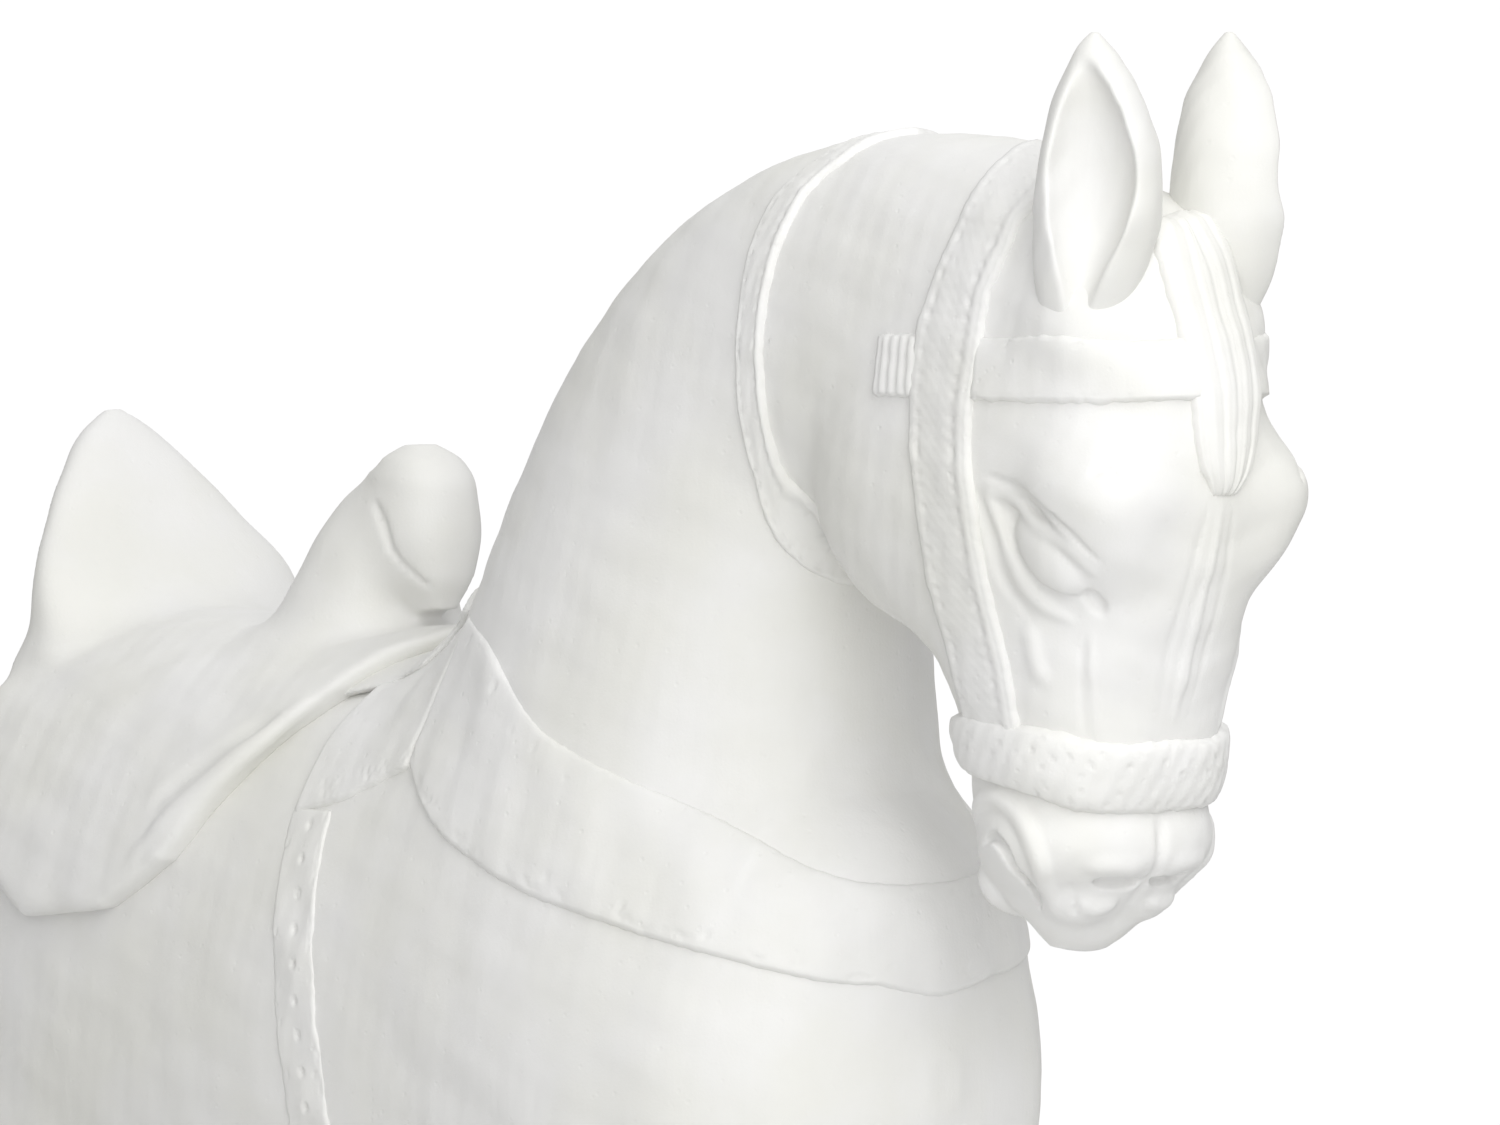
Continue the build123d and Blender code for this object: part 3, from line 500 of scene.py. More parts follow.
    def skin(self):
        """Vertices and quads of the clay's surface, by surface nets."""
        field = np.concatenate([self.f[:0:-1], self.f], 0)
        low = np.array([-self.axes[0][-1], self.low[1], self.low[2]])
        inside = field < 0
        corners = [(a, b, c) for a in (0, 1) for b in (0, 1) for c in (0, 1)]
        shape = np.array(field.shape) - 1
        count = np.zeros(shape, np.int8)
        for a, b, c in corners:
            count += inside[a:a + shape[0], b:b + shape[1], c:c + shape[2]]
        cells = np.argwhere((count > 0) & (count < 8))
        index = np.full(shape, -1, np.int32)
        index[tuple(cells.T)] = np.arange(len(cells))
        total = np.zeros((len(cells), 3))
        hits = np.zeros(len(cells))
        for start in corners:
            for axis in range(3):
                if start[axis]:
                    continue
                end = list(start)
                end[axis] = 1
                a = field[tuple((cells + start).T)]
                b = field[tuple((cells + end).T)]
                crossing = (a < 0) != (b < 0)
                t = np.where(crossing, a / np.where(a == b, 1, a - b), 0)
                point = np.array(start, float) + t[:, None] * (np.array(end) - start)
                total += point * crossing[:, None]
                hits += crossing
        vertices = low + (cells + total / hits[:, None]) * self.step
        faces = []
        for axis in range(3):
            u, v = (axis + 1) % 3, (axis + 2) % 3
            here = [slice(None)] * 3
            there = [slice(None)] * 3
            here[axis] = slice(None, -1)
            there[axis] = slice(1, None)
            first = inside[tuple(here)]
            flips = first != inside[tuple(there)]
            edges = np.argwhere(flips)
            keep = (edges[:, u] > 0) & (edges[:, v] > 0)
            keep &= (edges[:, u] < shape[u]) & (edges[:, v] < shape[v])
            edges = edges[keep]
            quad = []
            for du, dv in ((1, 1), (0, 1), (0, 0), (1, 0)):
                cell = edges.copy()
                cell[:, u] -= du
                cell[:, v] -= dv
                quad.append(index[tuple(cell.T)])
            quad = np.stack(quad, 1)
            outward = first[tuple(edges.T)]
            quad[~outward] = quad[~outward][:, ::-1]
            faces.append(quad)
        return vertices, np.vstack(faces)


def rotation(turn):
    """Rotation matrix from degrees about X, Y and Z, for row vectors."""
    matrix = np.eye(3, dtype=np.float32)
    for axis, angle in enumerate(turn):
        c, s = math.cos(math.radians(angle)), math.sin(math.radians(angle))
        u, v = (axis + 1) % 3, (axis + 2) % 3
        step = np.eye(3, dtype=np.float32)
        step[u, u] = c
        step[v, v] = c
        step[v, u] = s
        step[u, v] = -s
        matrix = step @ matrix
    return matrix


# ---------------------------------------------------------------- the horse
def arch(half):
    """A whole arch from its X >= 0 half, which starts on the centre plane."""
    half = np.asarray(half, float)
    return np.vstack([half[::-1] * (-1, 1, 1), half[1:]])


def loop(half):
    """A whole closed loop from its X >= 0 half, which starts and ends on the centre plane."""
    half = np.asarray(half, float)
    return np.vstack([half, half[-2:0:-1] * (-1, 1, 1)])


def sculpt(clay, fine):
    """Model the horse's body in the clay; fine adds the head's small features."""
    clay.limb(TRUNK, 1, power=2.2)
    clay.limb(NECK, 24, power=2.1)
    clay.limb(FORELEG, 26, middle=LEG_X)
    clay.limb(HINDLEG, 26, middle=LEG_X)
    clay.limb(SKULL, 10, power=2.4)
    clay.ball((27, -287, 757), (30, 54, 57), 6)                   # jowl
    clay.ball((0, -200, 585), (70, 60, 55), 25)                   # base of the neck
    if fine:
        clay.ball((38, -387, 749), (19, 24, 19), 20)              # brow
        clay.ball((30, -390, 733), (13, 12, 15), 14, turn=(12, 0, 0))     # orbit in front of the eye
        clay.ball((34, -375, 810), (16, 18, 16), 14)              # ear root
        clay.ball((12, -366, 838), (26, 22, 17), 14)              # poll between the ears
        clay.ball((0, -349, 624), (46, 34, 21), 7)                # muzzle
        clay.ball((13, -354, 607), (17, 13, 14), 5)               # upper lip lobes
        clay.ball((0, -343, 597), (21, 14, 14), 5, turn=(-20, 0, 0))
        clay.ball((0, -322, 609), (33, 11, 16), 2)                # lower lip and chin
        clay.ball((58, -372, 731), (12, 27, 15), 5, turn=(44, 0, 0), away=True)    # socket
        clay.ball((42, -373, 731), (13, 20, 13.5), 1.5, turn=(44, 0, 0))  # eyeball
        for roll in HEAD_ROLLS:
            clay.roll(*roll)
    clay.rough(26, 0.35, 3)
    clay.rough(9, 0.16, 5)


# ---------------------------------------------------------------- meshes
def add_object(name, vertices, faces, normals=None):
    """A smooth-shaded object from millimetre vertices."""
    mesh = bpy.data.meshes.new(name)
    mesh.from_pydata([tuple(v) for v in np.asarray(vertices) * MM], [], [tuple(map(int, f)) for f in faces])
    mesh.polygons.foreach_set("use_smooth", [True] * len(mesh.polygons))
    mesh.update()
    if normals is not None:
        mesh.normals_split_custom_set_from_vertices([tuple(n) for n in normals])
    piece = bpy.data.objects.new(name, mesh)
    bpy.context.scene.collection.objects.link(piece)
    return piece


def cut_part(skin, cuts, keep, clay, name):
    """The part of a skin whose faces keep() accepts, cut along planes (axis, place) and capped there."""
    vertices, faces = skin
    middle = vertices[faces].mean(1)
    close = keep(middle)
    for axis, place in cuts:
        close |= np.abs(middle[:, axis] - place) < 3 * clay.step
    used = faces[close]
    chosen = np.unique(used)
    index = np.full(len(vertices), -1)
    index[chosen] = np.arange(len(chosen))
    mesh = bpy.data.meshes.new("cut")
    mesh.from_pydata([tuple(v) for v in vertices[chosen]], [], index[used].tolist())
    work = bmesh.new()
    work.from_mesh(mesh)
    bpy.data.meshes.remove(mesh)
    for axis, place in cuts:
        point, normal = Vector(), Vector()
        point[axis], normal[axis] = place, 1
        everything = work.verts[:] + work.edges[:] + work.faces[:]
        bmesh.ops.bisect_plane(work, geom=everything, plane_co=point, plane_no=normal)
    middle = np.array([face.calc_center_median()[:] for face in work.faces])
    gone = [face for face, stays in zip(work.faces, keep(middle)) if not stays]
    bmesh.ops.delete(work, geom=gone, context="FACES")
    bmesh.ops.holes_fill(work, edges=[edge for edge in work.edges if edge.is_boundary])
    bmesh.ops.triangulate(work, faces=[face for face in work.faces if len(face.verts) > 4])
    work.verts.index_update()
    points = np.array([v.co[:] for v in work.verts])
    polygons = [[v.index for v in face.verts] for face in work.faces]
    work.free()
    return add_object(name, points, polygons, clay.normals(points))


def wobble(values, length, seed):
    """Smooth pseudo-random numbers between about -1 and 1 along one or more coordinates."""
    random = np.random.default_rng(seed)
    total = 0
    for _ in range(5):
        waves = sum(value * random.normal(0, 2 * math.pi / length) for value in values)
        total = total + np.sin(waves + random.uniform(0, 2 * math.pi))
    return total / 3


def ribbon(clay, name, low_edge, high_edge, thick, closed=False, detail=None, spacing=1.1, ends=3.0, full=5.0):
    """A padded band on the clay between two edge lines, sunk a little into it.

    detail(u, s) gives extra height at u mm along the band and s from -1 to 1 across it.
    """
    low_line, high_line = (np.asarray(edge, float) for edge in (low_edge, high_edge))
    if closed:
        low_line, high_line = (np.vstack([line, line[:1]]) for line in (low_line, high_line))
    low_line, high_line = through(low_line, 0.4), through(high_line, 0.4)
    length = np.linalg.norm(np.diff((resample(low_line, 400) + resample(high_line, 400)) / 2, axis=0), axis=1).sum()
    count = int(length / spacing) + 1
    low_line, high_line = resample(low_line, count), resample(high_line, count)
    width = np.linalg.norm(high_line - low_line, axis=1).mean()
    s = np.linspace(-1, 1, max(7, int(width / (spacing * 0.8)) | 1))
    u = np.linspace(0, length, count)
    along, across = np.meshgrid(u, s, indexing="ij")
    edge_walk = 0.35 * wobble([along, 7 * across], 14, len(name)) + 0.2 * wobble([along, 3 * across], 5, 9)
    share = ((across + 1) / 2)[..., None]
    middle = np.abs(across) > 0.99
    base = low_line[:, None] * (1 - share) + high_line[:, None] * share
    step = (high_line - low_line) / np.maximum(np.linalg.norm(high_line - low_line, axis=1), 1e-6)[:, None]
    base = base + step[:, None] * (edge_walk * across ** 8)[..., None] * (1 + 0 * middle[..., None])
    flat = clay.snapped(base.reshape(-1, 3), 8)
    normal = clay.normals(flat)
    rim = (1 - np.abs(across) ** full) ** (1 / full)
    height = thick * rim
    if not closed:
        inset = np.clip(np.minimum(along, length - along) / ends, 0, 1)
        height = height * np.sqrt(1 - (1 - inset) ** 2)
    if detail is not None:
        height = height + detail(along, across) * np.minimum(rim * 1.5, 1)
    height = height + 0.18 * wobble([along, 12 * across], 16, 4) * rim
    top = flat + normal * np.maximum(height, -0.3).reshape(-1, 1)
    under = flat - normal * 1.4
    shape = across.shape + (3,)
    rings = np.concatenate([top.reshape(shape), under.reshape(shape)[:, ::-1]], 1)
    rows, ring = rings.shape[:2]
    if closed:
        rings = rings[:-1]
        rows -= 1
    vertices = rings.reshape(-1, 3)
    i, j = np.meshgrid(np.arange(rows if closed else rows - 1), np.arange(ring), indexing="ij")
    nxt_i, nxt_j = (i + 1) % rows, (j + 1) % ring
    quads = np.stack([i * ring + j, nxt_i * ring + j, nxt_i * ring + nxt_j, i * ring + nxt_j], -1).reshape(-1, 4).tolist()
    if not closed:
        quads.append(list(range(ring)))
        quads.append(list(range((rows - 1) * ring, rows * ring))[::-1])
    return fix_winding(add_object(name, vertices, quads))


def resample(line, count):
    """The same line with evenly spaced points."""
    run = np.concatenate([[0], np.cumsum(np.linalg.norm(np.diff(line, axis=0), axis=1))])
    at = np.linspace(0, run[-1], count)
    return np.stack([np.interp(at, run, line[:, k]) for k in range(3)], 1)


def fix_winding(piece):
    """Turn every face outwards."""
    work = bmesh.new()
    work.from_mesh(piece.data)
    bmesh.ops.recalc_face_normals(work, faces=work.faces)
    work.to_mesh(piece.data)
    work.free()
    return piece


def outline_distance(points, y, z):
    """Signed distance in the side view to a smoothly rounded outline, negative inside."""
    points = np.asarray(points, float)
    loop = np.vstack([points, points[:1]])
    a, b = loop[:-1], loop[1:]
    yy, zz = np.meshgrid(y.ravel(), z.ravel(), indexing="ij")
    best = np.full(yy.shape, 1e9)
    inside = np.zeros(yy.shape, bool)
    for (ay, az), (by, bz) in zip(a, b):
        ey, ez = by - ay, bz - az
        t = np.clip(((yy - ay) * ey + (zz - az) * ez) / (ey * ey + ez * ez), 0, 1)
        best = np.minimum(best, np.hypot(yy - ay - t * ey, zz - az - t * ez))
        crosses = (az > zz) != (bz > zz)
        inside ^= crosses & (yy < ey * (zz - az) / (ez if ez else 1e-9) + ay)
    return np.where(inside, -best, best)[None]


# ---------------------------------------------------------------- materials
def painted(name, colour, roughness, grain=0.25, pits=0.35, brush=0.3, metallic=0.0, vary=0.04, scale=1.0):
    """Procedural finish: slow colour drift, brush streaks, pits and fine grain, in object space."""
    material = bpy.data.materials.new(name)
    material.use_nodes = True
    nodes, links = material.node_tree.nodes, material.node_tree.links
    shader = nodes["Principled BSDF"]
    shader.inputs["Metallic"].default_value = metallic
    place = nodes.new("ShaderNodeTexCoord").outputs["Object"]

    def noise(size, detail, stretch=(1, 1, 1)):
        turn = nodes.new("ShaderNodeMapping")
        turn.inputs["Scale"].default_value = stretch
        texture = nodes.new("ShaderNodeTexNoise")
        texture.inputs["Scale"].default_value = size * scale
        texture.inputs["Detail"].default_value = detail
        links.new(place, turn.inputs["Vector"])
        links.new(turn.outputs[0], texture.inputs["Vector"])
        return texture.outputs["Fac"]

    def spread(value, low, high, out_low, out_high):
        remap = nodes.new("ShaderNodeMapRange")
        for socket, number in zip(("From Min", "From Max", "To Min", "To Max"), (low, high, out_low, out_high)):
            remap.inputs[socket].default_value = number
        links.new(value, remap.inputs["Value"])
        return remap.outputs["Result"]

    tint = nodes.new("ShaderNodeMix")
    tint.data_type = "RGBA"
    darker = tuple(c * (1 - vary) for c in colour[:2]) + (colour[2] * (1 - 1.8 * vary),)
    tint.inputs["A"].default_value = (*darker, 1)
    tint.inputs["B"].default_value = (*colour, 1)
    links.new(spread(noise(14, 5), 0.35, 0.6, 0, 1), tint.inputs["Factor"])
    links.new(tint.outputs["Result"], shader.inputs["Base Color"])
    links.new(spread(noise(60, 4), 0.3, 0.7, roughness - 0.06, roughness + 0.08), shader.inputs["Roughness"])

    normal = None
    voronoi = nodes.new("ShaderNodeTexVoronoi")
    voronoi.inputs["Scale"].default_value = 140 * scale
    links.new(place, voronoi.inputs["Vector"])
    pit = spread(voronoi.outputs["Distance"], 0.03, 0.16, 0, 1)
    for height, strength, depth in (
        (noise(34, 3, (1, 1, 0.22)), brush, 0.0016),
        (noise(210, 3, (1, 1, 0.12)), brush, 0.0004),
        (pit, pits, 0.0003),
        (noise(900, 3), grain, 0.00025),
    ):
        bump = nodes.new("ShaderNodeBump")
        bump.inputs["Strength"].default_value = strength
        bump.inputs["Distance"].default_value = depth
        links.new(height, bump.inputs["Height"])
        if normal:
            links.new(normal, bump.inputs["Normal"])
        normal = bump.outputs["Normal"]
    links.new(normal, shader.inputs["Normal"])
    return material


MATERIALS = {
    "casting_white": painted("casting white", (0.80, 0.797, 0.785), 0.62),
    "saddle_white": painted("saddle white", (0.79, 0.787, 0.775), 0.6),
    "tack_white": painted("tack white", (0.80, 0.797, 0.785), 0.6, pits=0.5, brush=0.4),
    "forelock_white": painted("forelock white", (0.81, 0.806, 0.795), 0.6, brush=0.5),
    "plinth_white": painted("plinth white", (0.78, 0.777, 0.765), 0.55, pits=0.2),
    "laminate": painted("glass laminate", (0.52, 0.46, 0.30), 0.45, grain=0.5, vary=0.12),
    "steel": painted("zinc-plated steel", (0.56, 0.57, 0.58), 0.35, pits=0.1, metallic=1.0, vary=0.06),
    "base_plate": painted("coated steel plate", (0.30, 0.31, 0.32), 0.5, pits=0.15, metallic=0.6),
    "rubber_black": painted("black rubber", (0.03, 0.03, 0.032), 0.8, grain=0.5),
    "washer": painted("washer rubber", (0.10, 0.10, 0.10), 0.75, grain=0.4),
    "sand": painted("dry sand", (0.55, 0.44, 0.28), 0.95, grain=1.0, pits=0.8, vary=0.2),
    "plug": painted("grey plug", (0.34, 0.35, 0.36), 0.5, pits=0.1),
    "filler_neck": painted("filler neck", (0.62, 0.62, 0.61), 0.5, pits=0.1),
    "floor": painted("pale floor", (0.70, 0.70, 0.70), 0.8, grain=0.1, pits=0, brush=0.05, vary=0.02),
}


# ---------------------------------------------------------------- build
white = MATERIALS["casting_white"]
pieces = {}


def put(piece, node, slot, *others):
    """A finished piece stands for its CAD nodes and rides on the root body."""
    piece.data.materials.append(MATERIALS[slot])
    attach(piece, "root")
    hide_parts(node, *others)
    pieces[piece.name] = piece


def in_head(middle):
    """Which face centres belong to the head casting."""
    return (middle[:, 1] < HEAD_CUT) & ((middle[:, 2] > THROAT_Z) | (middle[:, 1] < JAW_Y))


def build_castings(body, head):
    """Cut the skins into the castings of the CAD model."""
    body_skin, head_skin = (
        (clay.snapped(vertices, 2), faces) for clay, (vertices, faces) in ((body, body.skin()), (head, head.skin()))
    )
    joint = [(1, HEAD_CUT), (2, THROAT_Z), (1, JAW_Y)]
    put(cut_part(head_skin, joint, in_head, head, "head"), "head_casting", "casting_white")
    for side, sign in (("left", 1), ("right", -1)):
        def half(c):
            return (c[:, 2] > LEG_CUT) & (c[:, 0] * sign > 0) & ~in_head(c + (0, OVERLAP, 0))
        cuts = [(0, 0), (2, LEG_CUT), (1, HEAD_CUT - OVERLAP), (2, THROAT_Z), (1, JAW_Y - OVERLAP)]
        put(cut_part(body_skin, cuts, half, body, f"body_{side}"), f"body_{side}", "casting_white")
        for leg, rear in (("foreleg", -1), ("hindleg", 1)):
            def lower(c):
                return (c[:, 2] < LEG_CUT) & (c[:, 2] > PLINTH_TOP) & (c[:, 0] * sign > 0) & (c[:, 1] * rear > 0) & (c[:, 0] * sign > 20)
            piece = cut_part(body_skin, [(0, 20 * sign), (2, LEG_CUT), (2, PLINTH_TOP)], lower, body, f"{leg}_{side}")
            put(piece, f"{leg}_{side}", "casting_white")


def build_ears():
    """Leaf-shaped ears with a hollow that faces forwards and outwards."""
    ear = Clay((0, -412, 792), (74, -338, 924), EAR_STEP)
    ear.limb(EAR, 1, middle=EAR_X, spin=EAR_TURN)
    ear.limb(EAR_HOLLOW, 4, middle=EAR_X + 13, spin=EAR_TURN + 25, away=True)
    ear.rough(12, 0.3, 8)
    vertices, faces = ear.skin()
    vertices = ear.snapped(vertices, 2)
    for side, sign in (("left", 1), ("right", -1)):
        piece = cut_part((vertices, faces), [], lambda c: c[:, 0] * sign > 0, ear, f"ear_{side}")
        put(piece, f"ear_{side}", "casting_white")


def stitches(step, place, depth, radius):
    """Detail that presses a row of stitch holes, place being their line across the band from -1 to 1."""
    def detail(u, s):
        along = (u % step) - step / 2
        holes = np.exp(-(along / radius) ** 2 - ((s - place) * 14 / radius) ** 2)
        return -depth * holes
    return detail


def rolled(u, s):
    """Raised edges, the front one higher and nicked at intervals, with a sunken middle."""
    ridge = 0.7 * np.exp(-((s - 0.76) / 0.16) ** 2) + 0.4 * np.exp(-((s + 0.8) / 0.14) ** 2)
    nick = np.exp(-(((u + 2 * wobble([u], 20, 6)) % 7 - 3.5) / 1.1) ** 2) * np.exp(-((np.abs(s + 0.08) - 0.6) / 0.1) ** 2)
    return 1.1 * ridge - 0.5 * (np.abs(s) < 0.92) - 0.9 * nick + 0.15 * wobble([u, 9 * s], 9, 13)


def lumpy(u, s):
    """Rounded roll with small pits and cracks."""
    pits = np.maximum(wobble([u, 9 * s], 6, 21) - 0.75, 0)
    return 0.8 * (1 - s * s) + 0.4 * wobble([u, 8 * s], 18, 2) - 1.4 * pits


def worn(u, s):
    """Flat leather with faint waves, and small pits near its edges."""
    pits = np.maximum(wobble([u, 16 * s], 7, 31) - 0.9, 0) * (np.abs(s) > 0.6)
    crack = np.maximum(wobble([u], 26, 17), 0) * np.exp(-((s + 0.86 + 0.05 * wobble([u], 11, 3)) / 0.05) ** 2)
    return 0.4 * wobble([u, 14 * s], 40, 5) - 1.2 * pits - 0.9 * crack


def build_tack(body, head):
    """Straps of the bridle and the harness, laid on the horse."""
    nose_low = loop([(0, -384, 635), (30, -378, 636), (43, -366, 640), (42, -345, 645), (34, -322, 649), (0, -308, 650)])
    nose_high = loop([(0, -388, 661), (30, -382, 661), (45, -370, 665), (47, -345, 668), (42, -324, 670), (0, -305, 672)])
    put(ribbon(head, "noseband", nose_low, nose_high, 4.6, closed=True, detail=lumpy, full=3.2), "noseband", "tack_white")
    brow_low = arch([(0, -409, 784), (20, -405, 784), (39, -397, 784), (54, -378, 784), (54, -340, 783)])
    brow_high = arch([(0, -401, 805), (20, -400, 805), (38, -396, 806), (54, -378, 807), (52, -340, 806)])
    put(ribbon(head, "browband", brow_low, brow_high, 2.7, detail=brow_edge, full=9), "browband", "tack_white")
    rear = [(0.5, -318, 879), (17, -320, 872), (36, -320, 856), (43, -319, 840), (48, -314, 824), (52, -309, 802),
            (55, -310, 768), (54, -316, 729), (51, -320, 707), (47, -324, 687), (44, -326, 655)]
    front = [(0.5, -346, 875), (17, -348, 868), (38, -350, 845), (44, -347, 833), (50, -343, 819), (53, -343, 802),
             (54, -341, 769), (54, -346, 735), (52, -350, 710), (50, -355, 686), (47, -357, 655)]
    neck_rear = [(0, -236, 878), (22, -228, 870), (40, -214, 848), (52, -212, 806), (54, -213, 772),
                 (52, -217, 748), (46, -221, 730), (30, -227, 716), (0, -233, 708)]
    neck_front = [(0, -252, 880), (22, -244, 872), (40, -232, 850), (52, -226, 806), (54, -226, 772),
                  (52, -228, 752), (44, -231, 738), (26, -238, 727), (0, -244, 721)]
    for side, sign in (("left", 1), ("right", -1)):
        flip = np.array([sign, 1, 1])
        put(ribbon(head, f"cheek_strap_{side}", rear * flip, front * flip, 3.2, detail=rolled), f"cheek_strap_{side}", "tack_white")
        tab_low = np.array([(52, -313, 783), (52, -289, 783)]) * flip
        tab_high = np.array([(51, -313, 806), (51, -289, 806)]) * flip
        put(ribbon(head, f"strap_tab_{side}", tab_low, tab_high, 3.0, detail=ribbed), f"strap_tab_{side}", "tack_white")
        low = body.side([(-58, 637), (-42, 631), (-20, 622), (2, 617)]) * flip
        high = body.side([(-62, 692), (-46, 690), (-22, 687), (2, 688)]) * flip
        put(ribbon(body, f"shoulder_strap_{side}", low, high, 2.8, detail=brow_edge), f"shoulder_strap_{side}", "tack_white")
    strap = ribbon(body, "neck_strap", loop(neck_rear), loop(neck_front), 2.6, closed=True, detail=rolled)
    put(strap, "neck_strap", "tack_white")
    low = arch([(0, -268, 561), (45, -260, 567), *body.side([(-216, 579), (-145, 595), (-98, 611), (-73, 625), (-58, 639)])])
    high = arch([(0, -264, 604), (40, -254, 609), *body.side([(-213, 624), (-138, 653), (-94, 684), (-62, 694)])])
    put(ribbon(body, "breast_collar", low, high, 3.0, detail=brow_edge, spacing=1.4), "breast_collar", "tack_white")
    turn = np.radians(np.linspace(0, 128, 9))
    around = np.stack([118 * np.sin(turn), 0 * turn, 527 - 152 * np.cos(turn)], 1)
    around[:, 1] = np.clip((around[:, 2] - 505) / 113, 0, 1.4) * 19      # it leans back under the saddle
    put(ribbon(body, "girth", arch(around + (0, -39, 0)), arch(around + (0, -16, 0)), 1.0,
               detail=lambda u, s: worn(u, s) + stitches(14, -0.1, 2.2, 1.3)(u, s)),
        "girth", "tack_white")
    left = [(-12, -378, 842), (-12, -391, 820), (-12, -404, 792), (-12, -411, 770), (-10, -412, 760), (-4, -412, 750)]
    right = [(16, -378, 846), (21, -391, 822), (22, -402, 792), (18, -409, 770), (14, -410, 760), (7, -411, 750)]
    put(ribbon(head, "forelock", left, right, 5.0, detail=strands, full=2.4, ends=16, spacing=0.9), "forelock", "forelock_white")


def brow_edge(u, s):
    """Worn leather that stands out along its lower edge and dies away at its upper edge."""
    return worn(u, s) - 1.3 * np.clip(s, 0, 1) ** 2


def ribbed(u, s):
    """Upright ribs across a short strap end."""
    return 0.5 * np.cos(2 * math.pi * u / 4.6)


def strands(u, s):
    """Locks of hair that run down the band."""
    sway = s + 0.05 * np.sin(u / 18)
    return 0.8 * np.abs(np.sin(sway * 7.5)) + 0.35 * np.abs(np.sin(sway * 19 + 1)) - 0.8


def build_saddle():
    """Blanket, seat with its scroll pommel and its cantle, and the two flaps."""
    base = Clay((0, -60, 540), (124, 240, 800), SADDLE_STEP)
    sculpt(base, False)
    back = base.f.copy()
    y, z = base.axes[1], base.axes[2]
    shape = lambda outline: np.broadcast_to(outline_distance(outline, y, z), back.shape).astype(np.float32)
    everything = tuple(slice(0, size) for size in back.shape)

    def layer(outline, high, soft, extra=None):
        base.f = np.full_like(back, 40)
        base.blend(everything, back - high, 1)
        base.carve(everything, -shape(outline), soft)
        if extra:
            extra()
        base.carve(everything, back + 1.5, 1)
        base.rough(24, 0.4, 12)
        vertices, faces = base.skin()
        return base.snapped(vertices, 2), faces

    def seat_forms():
        base.limb(POMMEL, 14, power=2.4)
        base.limb(KNOB, 15, power=2.3)
        base.limb(CANTLE, 14, power=2.6)
        for roll in SADDLE_ROLLS:
            base.roll(*roll)

    pad = layer(PAD, 4.2, 3)
    put(cut_part(pad, [], lambda c: c[:, 2] > 0, base, "saddle_pad"), "saddle_pad", "saddle_white")
    leather = layer(SADDLE, 11, 7, seat_forms)
    edge = [(2, FLAP_TOP)]
    put(cut_part(leather, edge, lambda c: c[:, 2] > FLAP_TOP, base, "saddle_seat"), "saddle_seat", "saddle_white")
    for side, sign in (("left", 1), ("right", -1)):
        flap = cut_part(leather, edge, lambda c: (c[:, 2] < FLAP_TOP) & (c[:, 0] * sign > 0), base, f"saddle_flap_{side}")
        put(flap, f"saddle_flap_{side}", "saddle_white")


def build_tail():
    """Tail hanging behind the quarters, with locks along it."""
    tail = Clay((0, 255, 240), (36, 352, 650), 1.8)
    tail.limb(TAIL, 1)
    x, y, z = np.ix_(*tail.axes)
    lock = np.abs(np.sin(np.arctan2(y - 312, x) * 7 + z / 30)).astype(np.float32)
    tail.f = tail.f - 1.6 * lock * (z < 600) + 0.6
    vertices, faces = tail.skin()
    put(add_object("tail", tail.snapped(vertices, 2), faces, tail.normals(tail.snapped(vertices, 2))), "tail", "casting_white")


body_clay = Clay((0, -300, 62), (126, 312, 912), BODY_STEP)
sculpt(body_clay, False)
head_clay = Clay((0, -436, 560), (84, -200, 912), HEAD_STEP)
sculpt(head_clay, True)
build_castings(body_clay, head_clay)
build_ears()
build_tack(body_clay, head_clay)
build_saddle()
build_tail()

for node, slot in CAD_FINISH.items():
    for material_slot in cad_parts[node].material_slots:
        material_slot.link = "OBJECT"
        material_slot.material = MATERIALS[slot]


# ---------------------------------------------------------------- stage, light and camera
def build_stage():
    """Pale floor disc under the plinth."""
    work = bmesh.new()
    bmesh.ops.create_circle(work, cap_ends=True, segments=96, radius=FLOOR_RADIUS)
    mesh = bpy.data.meshes.new("floor")
    work.to_mesh(mesh)
    work.free()
    floor = bpy.data.objects.new("floor", mesh)
    floor.location.z = -0.0005
    bpy.context.scene.collection.objects.link(floor)
    mesh.materials.append(MATERIALS["floor"])


def add_light(name, direction, distance, size, power):
    """Soft square light that faces the middle of the horse from a direction (azimuth, elevation)."""
    azimuth, elevation = map(math.radians, direction)
    away = Vector((math.sin(azimuth) * math.cos(elevation), -math.cos(azimuth) * math.cos(elevation), math.sin(elevation)))
    data = bpy.data.lights.new(name, "AREA")
    data.size = size
    data.energy = power
    light = bpy.data.objects.new(name, data)
    light.location = TARGET + away * distance
    light.rotation_euler = away.to_track_quat("Z", "Y").to_euler()
    bpy.context.scene.collection.objects.link(light)


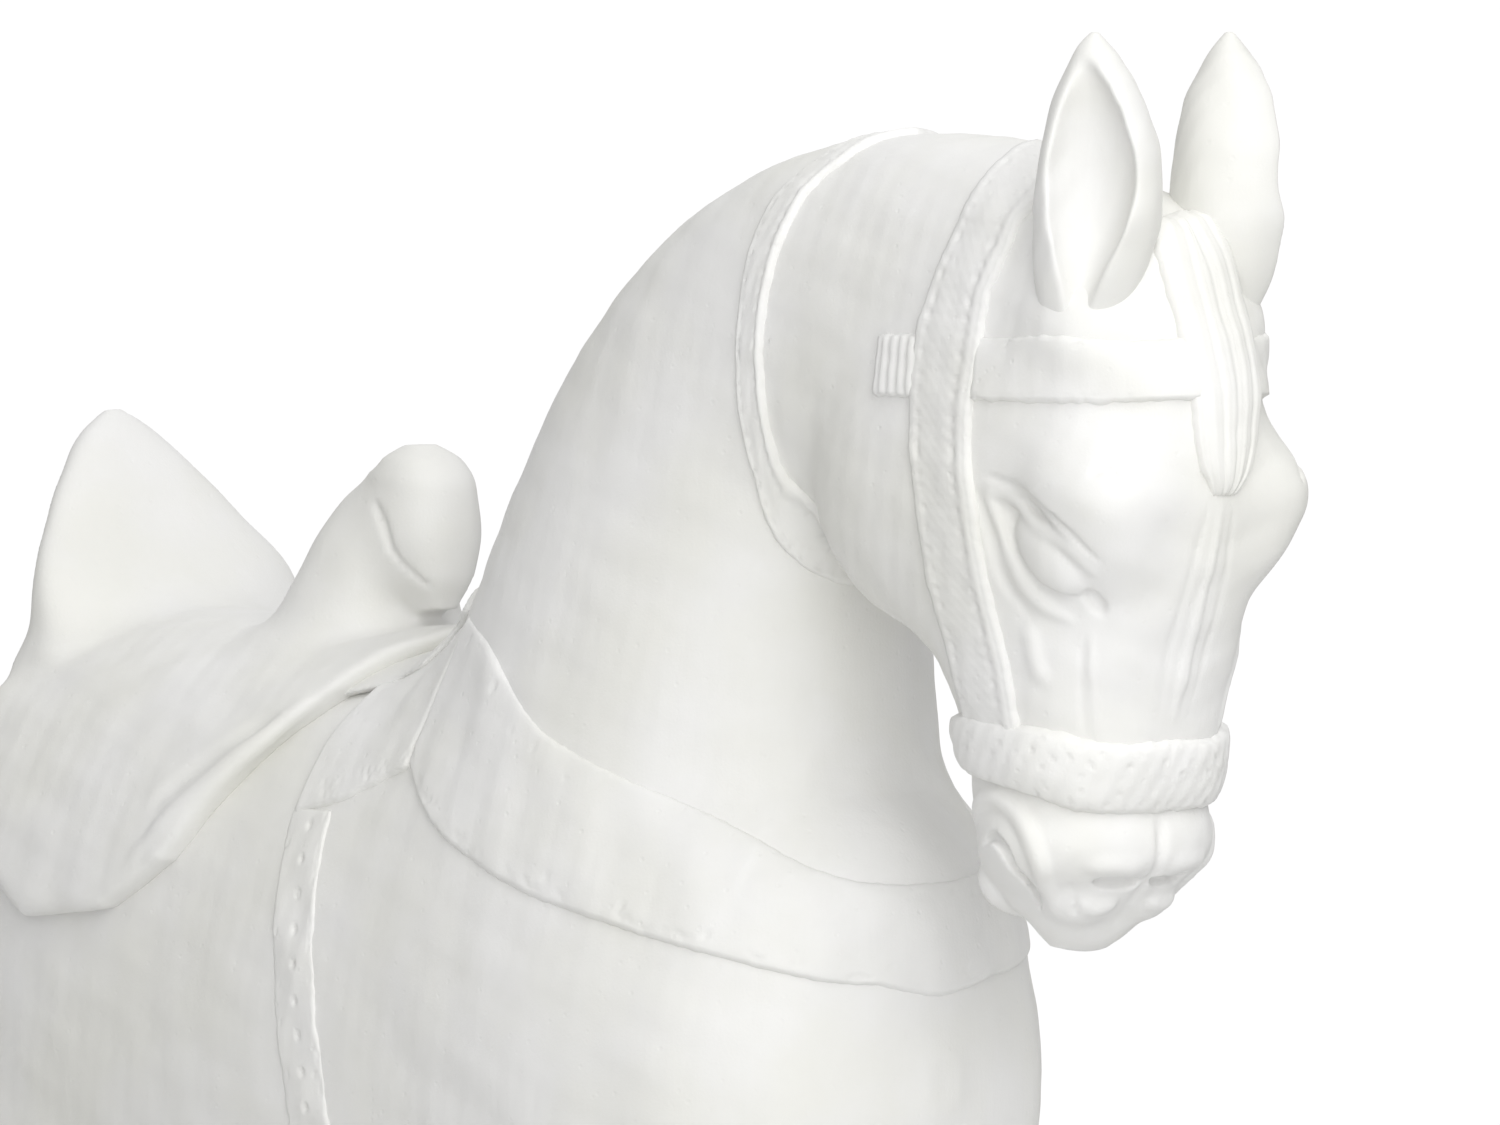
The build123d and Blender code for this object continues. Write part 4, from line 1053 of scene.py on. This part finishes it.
def build_world():
    """White backdrop for the camera, and a softer sky for the light on the horse."""
    world = bpy.data.worlds.new("studio")
    bpy.context.scene.world = world
    world.use_nodes = True
    nodes, links = world.node_tree.nodes, world.node_tree.links
    nodes.clear()
    out = nodes.new("ShaderNodeOutputWorld")
    mix = nodes.new("ShaderNodeMixShader")
    path = nodes.new("ShaderNodeLightPath")
    sky = nodes.new("ShaderNodeBackground")
    sky.inputs["Strength"].default_value = SKY_LIGHT
    paper = nodes.new("ShaderNodeBackground")
    paper.inputs["Color"].default_value = (1, 1, 1, 1)
    paper.inputs["Strength"].default_value = 1.02
    coordinate = nodes.new("ShaderNodeTexCoord")
    split = nodes.new("ShaderNodeSeparateXYZ")
    ramp = nodes.new("ShaderNodeMapRange")
    ramp.inputs["From Min"].default_value = -0.7
    ramp.inputs["From Max"].default_value = 0.9
    ramp.inputs["To Min"].default_value = SKY_LOW
    ramp.inputs["To Max"].default_value = 1.0
    links.new(coordinate.outputs["Generated"], split.inputs[0])
    links.new(split.outputs["Z"], ramp.inputs["Value"])
    links.new(ramp.outputs["Result"], sky.inputs["Color"])
    links.new(path.outputs["Is Camera Ray"], mix.inputs[0])
    links.new(sky.outputs[0], mix.inputs[1])
    links.new(paper.outputs[0], mix.inputs[2])
    links.new(mix.outputs[0], out.inputs[0])


def build_camera():
    """Camera at the photograph's viewing angle, on the head and the saddle."""
    azimuth, elevation = map(math.radians, VIEW)
    away = Vector((math.sin(azimuth) * math.cos(elevation), -math.cos(azimuth) * math.cos(elevation), math.sin(elevation)))
    data = bpy.data.cameras.new("camera")
    data.lens = LENS
    data.sensor_width = 36
    data.clip_end = 50
    camera = bpy.data.objects.new("camera", data)
    camera.location = TARGET + away * VIEW_DISTANCE
    camera.rotation_euler = away.to_track_quat("Z", "Y").to_euler()
    bpy.context.scene.collection.objects.link(camera)
    bpy.context.scene.camera = camera


build_stage()
build_world()
for light in LIGHTS:
    add_light(*light)
build_camera()
bpy.context.scene.view_settings.view_transform = "Standard"
